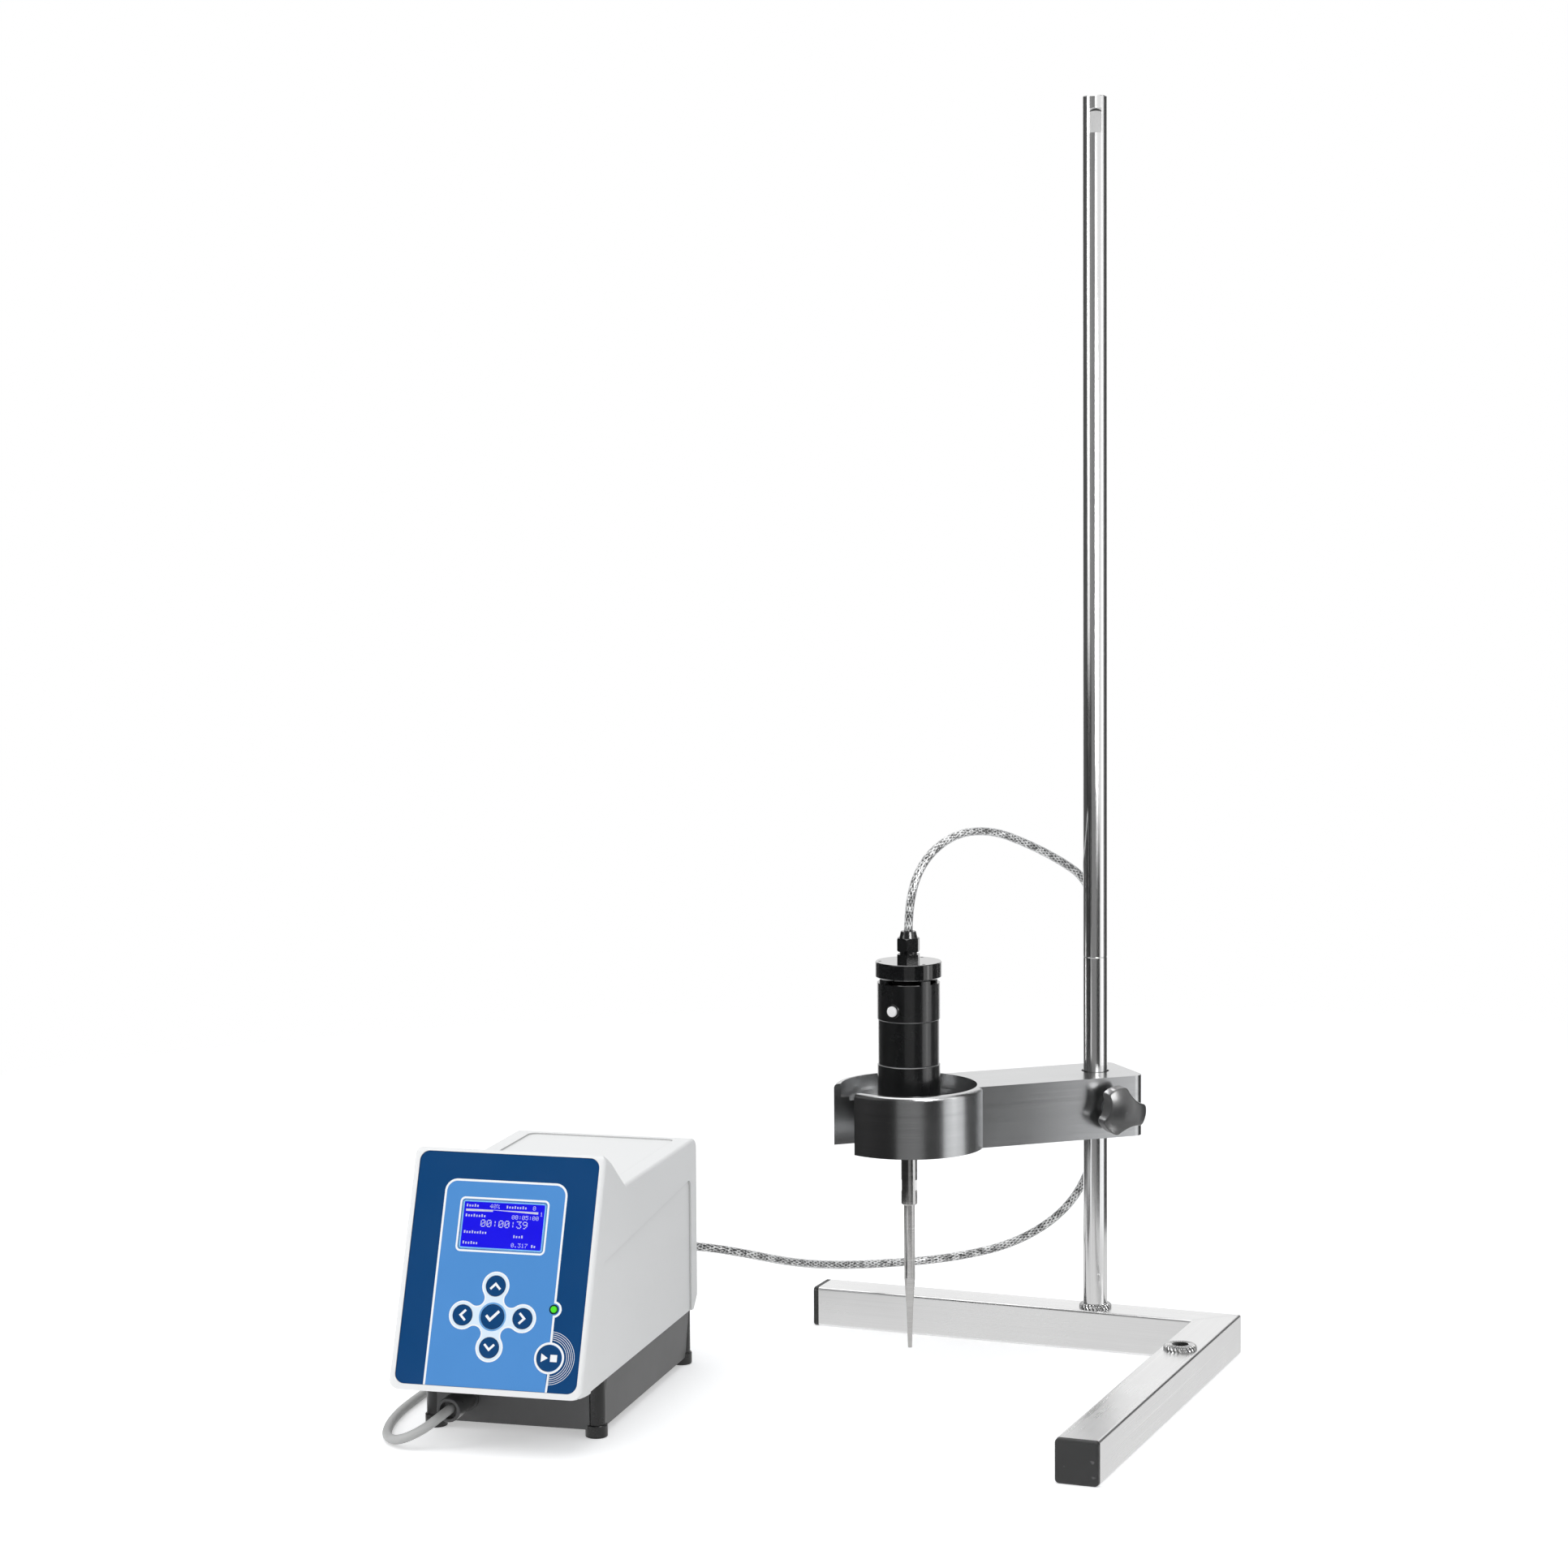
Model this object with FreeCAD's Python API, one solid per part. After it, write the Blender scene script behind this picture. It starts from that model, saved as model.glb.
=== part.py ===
import FreeCAD, Part
import math
import os

from FreeCAD import Placement, Rotation, Vector

# Bench probe sonicator: an L-shaped stand with a tall rod, a clamped holder ring that carries the
# ultrasonic converter with its horn and probe tip, and the generator that drives it by a cable.
# Millimetres. The origin is on the table, under the middle of the rod. +X runs along the back
# beam of the stand to its welded corner, +Y points to the back, +Z is up.

# A cutter runs past the face that it cuts by this much; edges are found to within the tolerance
overcut = 1.0
edge_tolerance = 0.001

# Stand: square stainless tube, mitred and welded at the corner
tube_side = 30.0
tube_wall = 2.0
tube_edge = 2.0
beam_left = -217.0
beam_right = 108.0
beam_front = -345.0
cap_flange = 4.4
cap_edge = 3.0
cap_spigot = 16.0
cap_wall = 2.2
cap_slack = 0.2

# Threaded bosses on the stand: one holds the rod, the spare one stays open
boss_radius = 12.0
boss_height = 3.5
boss_neck = 9.0
boss_round = 2.4
thread_radius = 6.0
thread_slack = 0.05
spare_boss_y = -98.0

# Rod: two lengths joined by a hidden stud
rod_radius = 9.0
rod_seam = 295.0
rod_top = 931.4
rod_chamfer = 0.8
rod_spigot = 9.0
stud_radius = 4.0
stud_reach = 15.0
stud_relief = 3.0
flat_depth = 1.2
flat_length = 18.0
flat_below_top = 9.4
flat_round = 4.0
flat_angle = -68.2

# Holder: arm and ring in one piece, turning on a split bush that slides on the rod
arm_angle = 221.8
arm_reach = 150.0
arm_width = 62.0
arm_top = 209.0
arm_height = 45.0
arm_tail = 26.0
arm_corner = 8.0
ring_radius = 55.0
ring_round = 3.0
lip_radius = 50.0
lip_depth = 10.0
step_radius = 44.0
step_depth = 3.0
slot_width = 41.0
running_gap = 0.05
bush_wall = 1.25
bush_ledge = 1.2
bush_ledge_height = 1.6
bush_end_gap = 0.2
bush_split = 2.0
snap_ring_height = 1.0
snap_ring_width = 1.6
snap_ring_groove = 0.9
snap_ring_opening = 3.2

# Clamp knob: three lobes on a threaded spindle that closes the bush on the rod
spindle_radius = 4.0
spindle_tip_gap = 0.3
spindle_chamfer = 1.0
washer_radius = 8.5
washer_thickness = 2.0
washer_chamfer = 0.4
washer_gap = 0.3
knob_radius = 18.0
knob_hub_radius = 8.0
knob_hub_height = 5.0
knob_height = 17.0
knob_lobes = 3
knob_first_flank = 108.0
knob_flank_radius = 17.0
knob_flank_offset = 29.0
knob_dome_radius = 34.0
knob_edge = 1.6
knob_corner = 3.2
knob_spindle_depth = 14.0

# Converter: three turned shells under a screwed cap
shell_radius = 23.0
shell_waist_radius = 22.4
shell_wall = 3.0
shell_spigot = 3.0
shell_edge = 0.5
shell_fit = 0.1
seat_depth = 33.0
neck_radius = 20.0
neck_height = 8.0
lower_shell_height = 48.6
middle_shell_height = 32.9
upper_shell_height = 30.5
cap_radius = 24.4
cap_height = 12.0
cap_chamfer = 1.2
vent_count = 4
vent_sweep = 70.0
vent_height = 3.4
vent_angle = 56.5
pin_count = 3
pin_circle = 21.0
pin_radius = 1.3
pin_sunk = 0.8
pin_angle = -20.0

# Start button on the converter
button_angle = 38.2
button_above_seam = 8.4
button_radius = 3.9
button_proud = 2.4
button_length = 8.0
button_slack = 0.05
button_round = 0.7
bezel_radius = 5.2
bezel_proud = 0.9
bezel_round = 0.5
bezel_sleeve = 0.95
bezel_depth = 5.0

# Cable gland on the cap
gland_flats = 15.4
gland_chamfer = 1.0
gland_base_height = 5.2
gland_neck_radius = 6.4
gland_neck_height = 2.0
gland_nut_height = 10.0
gland_dome_height = 4.8
gland_dome_radius = 5.6
gland_dome_swell = 0.5
gland_thread = 5.6
gland_sunk = 6.0

# Ultrasonic stack inside the converter, the horn and the probe tip
horn_flange_radius = 18.6
horn_flange_height = 6.0
horn_head_height = 25.0
horn_head_radius = 15.0
horn_head_lip = 1.0
horn_cone_height = 8.0
horn_radius = 6.0
horn_length = 51.2
horn_chamfer = 1.0
horn_flat_above_end = 10.3
horn_flat_height = 8.4
horn_flat_depth = 1.0
horn_flat_angle = -35.0
tip_radius = 4.0
tip_shank_length = 54.4
tip_cone_length = 23.0
tip_neck_radius = 2.4
tip_end_radius = 1.5
tip_nose_length = 29.1
tip_thread = 2.5
tip_thread_length = 9.0
thread_run_out = 1.0
disc_radius = 15.0
disc_height = 5.0
plate_height = 0.6
plate_tab = 4.0
back_mass_height = 18.0
bolt_radius = 4.0
bolt_head_radius = 6.5
bolt_head_height = 6.0
bolt_clearance = 1.0
bolt_socket_floor = 2.0

# Generator: place on the table and outline of its side
generator_x = -300.0
generator_y = -424.0
generator_turn = 6.5
body_width = 138.0
body_bottom = 42.0
body_top = 198.0
body_depth = 274.0
panel_lean = 21.0
notch_y = 102.0
deck_height = 168.0
body_wall = 3.0
nose_round = 4.0
deck_round = 8.0
side_round = 2.5
rear_chamfer = 8.0
front_corner = 8.0
front_corner_reach = 50.0
ridge_wall = 6.0
field_depth = 1.5
field_front = 20.0
field_rear = 16.0
field_high_front = 124.0
field_high_rear = 140.0
field_corner = 6.0
deck_depth = 1.0
deck_margin = 13.0

# Front panel: foil, window and keys, set out from the middle of the lower panel edge
rim_width = 4.0
rim_corner = 7.0
foil_sunk = 1.2
foil_thickness = 0.6
foil_slack = 0.15
window_width = 61.0
window_low = 97.0
window_high = 131.0
window_corner = 2.0
window_lip = 2.0
lcd_depth = 6.0
lcd_margin = 3.0
pad_centre = 52.3
pad_pitch_across = 21.5
pad_pitch_up = 20.8
arrow_key_radius = 6.9
set_key_radius = 8.2
start_key_radius = 8.8
start_key_across = 43.3
start_key_up = 27.1
key_proud = 0.45
key_pocket = 0.9
key_travel = 0.5
key_stem = 2.5
key_stem_end = 4.6
key_slack = 0.3
key_guide_gap = 0.05
key_round = 0.4
led_radius = 2.2
led_across = 43.0
led_up = 59.7
led_length = 4.6
board_thickness = 1.6
board_margin = 9.0
board_low = 18.0
board_below_lcd = 1.0
switch_size = 6.0
switch_gap = 0.3

# Lower housing, feet and rear panel
tray_inset = 4.0
tray_front = 58.0
tray_rear_gap = 2.0
tray_low = 6.0
tray_wall = 2.5
tray_draft = 3.0
foot_radius = 6.6
foot_bare = 0.44
foot_round = 1.0
foot_pad_radius = 7.8
foot_pad_height = 9.0
foot_slack = 0.1
flange_height = 2.5
flange_slack = 0.2
rear_width = 112.0
rear_low = 54.0
rear_high = 156.0
rear_thickness = 2.0
rear_slack = 0.2
rear_lip = 3.0
rear_screw_margin = 3.0
inlet_across = 28.0
inlet_up = 84.0
inlet_width = 28.0
inlet_height = 22.0
inlet_depth = 24.0
inlet_flange = 3.0
inlet_flange_thickness = 2.5
inlet_hollow_depth = 17.0
blade_thickness = 2.0
blade_width = 4.0
blade_spread = 7.0
blade_stagger = 1.5
blade_sunk = 2.0
rocker_across = 28.0
rocker_up = 112.0
rocker_width = 15.0
rocker_height = 21.0
rocker_depth = 14.0
rocker_frame = 2.0
rocker_gap = 0.5
rocker_rise = 1.6
rocker_tilt = 10.0
rocker_pin_radius = 1.2
rocker_pin_depth = 2.0
rocker_pin_gap = 0.3
grille_across = -22.0
grille_up = 118.0
grille_slots = 7
grille_pitch = 7.0
grille_slot_width = 3.0
grille_slot_length = 46.0
grille_round = 1.49
screw_radius = 1.5
screw_head_radius = 2.8
screw_head_height = 1.6
screw_length = 9.0
base_screw_front = 92.0
base_screw_rear_gap = 28.0
base_screw_across = 40.0

# Boards inside the generator
main_board_front = 96.0
main_board_rear_gap = 28.0
main_board_width = 108.0
main_board_height = 16.0
board_post_radius = 3.5
board_post_inset = 4.5
toroid_radius = 26.0
toroid_bore = 9.0
toroid_height = 22.0
toroid_round = 4.4
toroid_from_rear = 69.0
toroid_gap = 11.0
sink_front = 118.0
sink_fins = 8
sink_pitch = 6.0
sink_fin_width = 2.0
sink_base = 4.0
sink_height = 34.0

# Socket and plug under the front panel, clip and splice behind
plug_across = -34.0
plug_up = 23.0
socket_radius = 9.5
socket_flange = 2.4
socket_body = 12.0
socket_wall = 0.8
socket_slack = 0.2
plug_body_radius = 7.6
plug_body_length = 18.0
plug_collar_radius = 8.4
plug_collar_length = 15.0
plug_mouth_radius = 6.2
plug_mouth_depth = 6.0
plug_edge = 0.8
clip_across = 48.0
clip_up = 84.0
clip_stand_off = 9.0
clip_width = 9.0
clip_wall = 1.6
clip_bore_slack = 0.4
clip_foot = 14.0
clip_web = 3.2
splice_length = 46.0
splice_radius = 6.0
splice_taper = 11.0
splice_neck = 1.0
splice_from_clip = 45.0
splice_across = -93.0

# Cables: outer diameters and the routes of their middle lines
cable_diameter = 6.5
arc_share = 0.45

arm_bottom = arm_top - arm_height
boss_top = tube_side + boss_height
bush_radius = rod_radius + running_gap + bush_wall
bore_radius = bush_radius + running_gap
half_body = body_width / 2
clip_line = body_depth + clip_stand_off
panel_run = (body_top - body_bottom) * math.tan(math.radians(panel_lean))
panel_length = (body_top - body_bottom) / math.cos(math.radians(panel_lean))
cable_radius = cable_diameter / 2

# Levels of the converter, from the seat in the ring up to the gland and down to the tip
seat_level = arm_top - seat_depth
lower_seam = seat_level + lower_shell_height
upper_seam = lower_seam + middle_shell_height
cap_low = upper_seam + upper_shell_height
cap_top = cap_low + cap_height
gland_neck_low = cap_top + gland_base_height
gland_nut_low = gland_neck_low + gland_neck_height
gland_nut_high = gland_nut_low + gland_nut_height
gland_top = gland_nut_high + gland_dome_height
neck_floor = seat_level - neck_height + shell_wall
horn_face = neck_floor + horn_head_height
horn_end = neck_floor - horn_length
tip_shoulder = horn_end - tip_shank_length
tip_neck = tip_shoulder - tip_cone_length
tip_end = tip_neck - tip_nose_length

# The arm turns about the rod, so the holder is drawn with its arm along +X and then turned
holder_place = Placement(Vector(0, 0, 0), Rotation(Vector(0, 0, 1), arm_angle))
converter_place = holder_place.multiply(Placement(Vector(arm_reach, 0, 0), Rotation()))
generator_place = Placement(
    Vector(generator_x, generator_y, 0), Rotation(Vector(0, 0, 1), generator_turn)
)
# The button's frame: Z out of the upper shell
button_place = Placement(
    Vector(0, 0, upper_seam + button_above_seam), Rotation(Vector(0, 0, 1), button_angle)
).multiply(Placement(Vector(), Rotation(Vector(0, 1, 0), 90)))
# Front panel frame: X across, Y up the slope, Z out of the panel
panel_place = generator_place.multiply(
    Placement(Vector(0, 0, body_bottom), Rotation(Vector(1, 0, 0), 90 - panel_lean))
)
# Rear panel frame: X to the right seen from behind, Y up, Z out of the back
facing_back = Rotation(Vector(0, 0, 1), 180).multiply(Rotation(Vector(1, 0, 0), 90))
rear_place = generator_place.multiply(Placement(Vector(0, body_depth, 0), facing_back))


def box(x0, x1, y0, y1, z0, z1):
    return Part.makeBox(x1 - x0, y1 - y0, z1 - z0, Vector(x0, y0, z0))


def disc(radius, low, high, x=0.0, y=0.0):
    return Part.makeCylinder(radius, high - low, Vector(x, y, low))


def face_of(points):
    return Part.Face(Part.makePolygon(points + points[:1]))


def turned(outline):
    return face_of([Vector(r, 0, z) for r, z in outline]).revolve(Vector(), Vector(0, 0, 1), 360)


def side_prism(outline, left, right):
    return face_of([Vector(left, y, z) for y, z in outline]).extrude(Vector(right - left, 0, 0))


def upright_edges(solid, direction):
    found = []
    for edge in solid.Edges:
        if edge.Curve.TypeId == "Part::GeomLine":
            along = abs(edge.tangentAt(edge.FirstParameter).dot(direction))
            if abs(along - 1) < edge_tolerance:
                found.append(edge)
    return found


def rounded_block(x0, x1, y0, y1, z0, z1, radius):
    block = box(x0, x1, y0, y1, z0, z1)
    return block.makeFillet(radius, upright_edges(block, Vector(0, 0, 1)))


def hexagon(flats, low, high):
    corner = flats / math.sqrt(3)
    points = [
        Vector(corner * math.cos(math.radians(60 * i)), corner * math.sin(math.radians(60 * i)), low)
        for i in range(6)
    ]
    return face_of(points).extrude(Vector(0, 0, high - low))


def along_y(shape, x, y, z):
    # A shape drawn along +Z is laid along +Y with its foot at the point given
    moved = shape.copy()
    moved.Placement = Placement(Vector(x, y, z), Rotation(Vector(1, 0, 0), -90))
    return moved


def round_edges(solid):
    return [edge for edge in solid.Edges if edge.Curve.TypeId == "Part::GeomCircle"]


def turned_about_z(shape, angle):
    moved = shape.copy()
    moved.rotate(Vector(), Vector(0, 0, 1), angle)
    return moved


def save(node, shape, place=Placement()):
    placed = shape.copy()
    placed.Placement = place.multiply(placed.Placement)
    placed.exportStep(os.path.join("parts", node + ".step"))


def square_tube(x0, x1, y0, y1):
    # The tube lies along its longer side
    lies_along_x = x1 - x0 > y1 - y0
    direction = Vector(1, 0, 0) if lies_along_x else Vector(0, 1, 0)
    outer = box(x0, x1, y0, y1, 0, tube_side)
    outer = outer.makeFillet(tube_edge, upright_edges(outer, direction))
    in_x = -overcut if lies_along_x else tube_wall
    in_y = tube_wall if lies_along_x else -overcut
    inner = box(x0 + in_x, x1 - in_x, y0 + in_y, y1 - in_y, tube_wall, tube_side - tube_wall)
    return outer.cut(inner)


def make_stand():
    half = tube_side / 2
    inner_x = beam_right - tube_side
    front_x = beam_right - half
    back_half = face_of(
        [
            Vector(beam_left, -half, 0),
            Vector(inner_x, -half, 0),
            Vector(beam_right, half, 0),
            Vector(beam_left, half, 0),
        ]
    ).extrude(Vector(0, 0, tube_side))
    front_half = face_of(
        [
            Vector(inner_x, beam_front, 0),
            Vector(beam_right, beam_front, 0),
            Vector(beam_right, half, 0),
            Vector(inner_x, -half, 0),
        ]
    ).extrude(Vector(0, 0, tube_side))
    back_beam = square_tube(beam_left, beam_right, -half, half).common(back_half)
    front_beam = square_tube(inner_x, beam_right, beam_front, half).common(front_half)
    below = tube_side - tube_wall - overcut
    above = tube_side + overcut
    back_beam = back_beam.cut(disc(boss_neck, below, above))
    front_beam = front_beam.cut(disc(boss_neck, below, above, front_x, spare_boss_y))
    save("base_back_beam", back_beam)
    save("base_front_beam", front_beam)

    boss = disc(boss_radius, tube_side, boss_top)
    rim = [edge for edge in boss.Edges if edge.BoundBox.ZMin > tube_side + boss_height / 2]
    boss = boss.makeFillet(boss_round, rim)
    boss = boss.fuse(disc(boss_neck, tube_side - tube_wall, tube_side))
    boss = boss.cut(disc(thread_radius, below, boss_top + overcut))
    save("rod_boss", boss)
    save("spare_boss", boss, Placement(Vector(front_x, spare_boss_y, 0), Rotation()))

    spigot_side = tube_side - 2 * tube_wall - 2 * cap_slack
    spigot_half = spigot_side / 2
    flange = rounded_block(-half, half, 0, tube_side, -cap_flange, 0, cap_edge)
    outer_rim = [edge for edge in flange.Edges if edge.BoundBox.ZMax < edge_tolerance - cap_flange]
    flange = flange.makeFillet(cap_edge / 2, outer_rim)
    spigot = box(-spigot_half, spigot_half, half - spigot_half, half + spigot_half, 0, cap_spigot)
    bore_half = spigot_half - cap_wall
    hollow = box(-bore_half, bore_half, half - bore_half, half + bore_half, 0, cap_spigot + overcut)
    end_cap = flange.fuse(spigot.cut(hollow))
    # Drawn with the flange facing -Z and Y up: one faces -X, the other -Y
    left_cap = end_cap.copy()
    left_cap.Placement = Placement(Vector(beam_left, 0, 0), Rotation(Vector(1, 1, 1), 120))
    front_cap = end_cap.copy()
    front_cap.Placement = Placement(
        Vector(front_x, beam_front, 0),
        Rotation(Vector(1, 0, 0), 90).multiply(Rotation(Vector(0, 1, 0), 180)),
    )
    save("beam_end_caps", Part.makeCompound([left_cap, front_cap]))


def make_rod():
    c = rod_chamfer
    spigot = thread_radius - thread_slack
    stud_bore = stud_reach + stud_relief
    lower = turned(
        [
            (0, boss_top - rod_spigot),
            (spigot, boss_top - rod_spigot),
            (spigot, boss_top),
            (rod_radius, boss_top),
            (rod_radius, rod_seam - c / 2),
            (rod_radius - c / 2, rod_seam),
            (stud_radius, rod_seam),
            (stud_radius, rod_seam - stud_bore),
            (0, rod_seam - stud_bore),
        ]
    )
    upper = turned(
        [
            (0, rod_seam + stud_bore),
            (stud_radius, rod_seam + stud_bore),
            (stud_radius, rod_seam),
            (rod_radius - c / 2, rod_seam),
            (rod_radius, rod_seam + c / 2),
            (rod_radius, rod_top - c),
            (rod_radius - c, rod_top),
            (0, rod_top),
        ]
    )
    flat_low = rod_top - flat_below_top - flat_length
    reach = rod_radius - flat_depth
    for side in (0, 180):
        flat_high = flat_low + flat_length
        cutter = box(reach, rod_radius + overcut, -rod_radius, rod_radius, flat_low, flat_high)
        cutter = cutter.makeFillet(flat_round, upright_edges(cutter, Vector(1, 0, 0)))
        upper = upper.cut(turned_about_z(cutter, flat_angle + side))
    save("rod_lower", lower)
    save("rod_upper", upper)
    save("rod_joint_stud", disc(stud_radius - thread_slack, rod_seam - stud_reach, rod_seam + stud_reach))


def make_holder():
    half_width = arm_width / 2
    ring = turned(
        [(0, arm_bottom), (ring_radius, arm_bottom), (ring_radius, arm_top), (0, arm_top)]
    )
    ring_rim = [edge for edge in ring.Edges if edge.BoundBox.ZMin > arm_top - edge_tolerance]
    ring = ring.makeFillet(ring_round, ring_rim)
    ring.translate(Vector(arm_reach, 0, 0))
    slab = box(-arm_tail, arm_reach, -half_width, half_width, arm_bottom, arm_top)
    tail = [edge for edge in upright_edges(slab, Vector(0, 0, 1)) if edge.BoundBox.XMax < 0]
    slab = slab.makeFillet(arm_corner, tail)
    arm = ring.fuse(slab).removeSplitter()

    below = arm_bottom - overcut
    above = arm_top + overcut
    recess = disc(lip_radius, arm_top - lip_depth, above, arm_reach)
    step = disc(step_radius, arm_top - lip_depth - step_depth, arm_top, arm_reach)
    seat = disc(shell_radius + shell_fit, seat_level, arm_top, arm_reach)
    bore = disc(neck_radius + shell_fit, below, arm_top, arm_reach)
    half_slot = slot_width / 2
    slot_end = arm_reach + ring_radius + overcut
    slot = box(arm_reach, slot_end, -half_slot, half_slot, below, above)
    rod_bore = disc(bore_radius, arm_bottom + bush_ledge_height, above)
    ledge_bore = disc(bore_radius - bush_ledge, below, arm_top)
    groove_high = arm_top - snap_ring_height
    groove = disc(bore_radius + snap_ring_groove, groove_high - snap_ring_height, groove_high)
    clamp_level = arm_top - arm_height / 2
    spindle_hole = along_y(disc(spindle_radius, 0, half_width + overcut), 0, 0, clamp_level)
    for cut in (recess, step, seat, bore, slot, rod_bore, ledge_bore, groove, spindle_hole):
        arm = arm.cut(cut)
    save("holder_arm", arm, holder_place)

    ring_low = groove_high - snap_ring_height
    snap = disc(bore_radius + snap_ring_groove, ring_low, groove_high)
    snap = snap.cut(disc(bore_radius + snap_ring_groove - snap_ring_width, ring_low, groove_high))
    opening = snap_ring_opening
    snap = snap.cut(box(0, 2 * bore_radius, -opening, opening, ring_low, groove_high))
    save("bush_snap_ring", snap, holder_place)

    bush_low = arm_bottom + bush_ledge_height + bush_end_gap
    bush_high = ring_low - bush_end_gap
    bush = disc(bush_radius, bush_low, bush_high)
    bush = bush.cut(disc(rod_radius + running_gap, bush_low, bush_high))
    split = box(-bush_split / 2, bush_split / 2, -bush_radius - overcut, 0, bush_low, bush_high)
    save("guide_bush", bush.cut(split), holder_place)


def make_clamp():
    # Drawn with the spindle along +Z, foot on the rod axis, then laid along the arm's +Y
    face = arm_width / 2
    washer_low = face + washer_gap
    washer_high = washer_low + washer_thickness
    hub_low = washer_high + washer_gap
    lobes_low = hub_low + knob_hub_height
    knob_high = lobes_low + knob_height
    shank = spindle_radius - thread_slack
    washer = disc(washer_radius, washer_low, washer_high).cut(
        disc(spindle_radius, washer_low, washer_high)
    )
    rims = [e for e in round_edges(washer) if e.Curve.Radius > spindle_radius + edge_tolerance]
    washer = washer.makeChamfer(washer_chamfer, rims)

    # A dome over the lobes: the lobes are a disc with three concave flanks taken away
    dome_drop = knob_dome_radius - math.sqrt(knob_dome_radius**2 - knob_radius**2)
    lobes = disc(knob_radius, lobes_low, knob_high)
    for i in range(knob_lobes):
        angle = math.radians(knob_first_flank + i * 360 / knob_lobes)
        x = knob_flank_offset * math.cos(angle)
        y = knob_flank_offset * math.sin(angle)
        flank = disc(knob_flank_radius, lobes_low - overcut, knob_high + overcut, x, y)
        lobes = lobes.cut(flank)
    lobes = lobes.makeFillet(knob_corner, upright_edges(lobes, Vector(0, 0, 1)))
    dome = Part.makeSphere(knob_dome_radius, Vector(0, 0, knob_high - knob_dome_radius))
    lobes = lobes.common(dome)
    rims = [
        e
        for e in lobes.Edges
        if e.BoundBox.ZMax < lobes_low + edge_tolerance
        or e.BoundBox.ZMin > knob_high - dome_drop - edge_tolerance
    ]
    lobes = lobes.makeFillet(knob_edge, rims)
    hub_foot = Vector(0, 0, hub_low)
    hub = Part.makeCone(knob_hub_radius, knob_hub_radius + knob_edge, knob_hub_height, hub_foot)
    socket_high = hub_low + knob_spindle_depth
    knob = lobes.fuse(hub).cut(disc(spindle_radius, hub_low, socket_high))
    spindle = disc(shank, bush_radius + spindle_tip_gap, socket_high)
    tip = [edge for edge in spindle.Edges if edge.BoundBox.ZMax < face]
    spindle = spindle.makeChamfer(spindle_chamfer, tip)
    height = arm_top - arm_height / 2
    for node, shape in (("clamp_washer", washer), ("clamp_knob", knob), ("clamp_spindle", spindle)):
        save(node, along_y(shape, 0, 0, height), holder_place)


def shell(low, high, radius, spigot_up):
    inner = radius - shell_wall
    outline = [
        (inner, low),
        (radius - shell_edge, low),
        (radius, low + shell_edge),
        (radius, high - shell_edge),
        (radius - shell_edge, high),
        (inner, high),
    ]
    wall = turned(outline)
    if not spigot_up:
        return wall
    outer = shell_waist_radius - shell_wall - shell_fit
    spigot = disc(outer, low + shell_spigot, high + shell_spigot)
    sleeve = spigot.cut(disc(outer - shell_wall / 2, low, high + shell_spigot))
    collar = disc(inner + shell_fit, high - shell_spigot, high)
    collar = collar.cut(disc(outer - shell_wall / 2, high - shell_spigot, high))
    sleeve = sleeve.common(disc(outer, high - shell_spigot, high + shell_spigot))
    return wall.fuse(collar).fuse(sleeve).removeSplitter()


def make_shells():
    inner = shell_radius - shell_wall
    floor_high = seat_level + shell_wall
    neck_low = seat_level - neck_height
    lower = shell(seat_level, lower_seam, shell_radius, True)
    lower = lower.fuse(disc(inner, seat_level, floor_high))
    lower = lower.fuse(disc(neck_radius, neck_low, floor_high))
    lower = lower.cut(disc(horn_flange_radius + shell_fit, neck_floor, floor_high + overcut))
    lower = lower.cut(disc(horn_head_radius, neck_low - overcut, floor_high)).removeSplitter()
    save("converter_lower_shell", lower, converter_place)

    middle = shell(lower_seam, upper_seam, shell_waist_radius, True)
    save("converter_middle_shell", middle, converter_place)

    # The upper shell has long low vents under the cap and a hole for the button's bezel
    upper = shell(upper_seam, cap_low, shell_radius, False)
    vent_foot = Vector(0, 0, cap_low - vent_height)
    vent = Part.makeCylinder(
        shell_radius + overcut, vent_height, vent_foot, Vector(0, 0, 1), vent_sweep
    )
    for i in range(vent_count):
        start = vent_angle - vent_sweep / 2 + i * 360 / vent_count
        upper = upper.cut(turned_about_z(vent, start))
    hole = disc(button_radius + bezel_sleeve, inner - overcut, shell_radius + overcut)
    hole.Placement = button_place
    save("converter_upper_shell", upper.cut(hole), converter_place)


def make_button():
    # Drawn along +Z from the converter's axis, then laid towards the front of the upper shell
    face = shell_radius + bezel_proud
    sleeve_radius = button_radius + bezel_sleeve - button_slack
    rim = disc(bezel_radius, shell_radius - bezel_proud, face)
    outer_rim = [e for e in round_edges(rim) if e.BoundBox.ZMin > face - edge_tolerance]
    rim = rim.makeFillet(bezel_round, outer_rim)
    rim.Placement = button_place
    wall = disc(shell_radius, upper_seam, cap_low)
    sleeve = disc(sleeve_radius, face - bezel_depth, face - bezel_round)
    bore = disc(button_radius + button_slack, face - bezel_depth - overcut, face + overcut)
    sleeve.Placement = button_place
    bore.Placement = button_place
    bezel = rim.cut(wall).fuse(sleeve).cut(bore).removeSplitter()
    save("button_bezel", bezel, converter_place)

    button_end = shell_radius + button_proud
    button = disc(button_radius, button_end - button_length, button_end)
    front = [e for e in round_edges(button) if e.BoundBox.ZMin > button_end - edge_tolerance]
    button = button.makeFillet(button_round, front)
    button.Placement = button_place
    save("start_button", button, converter_place)


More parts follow.
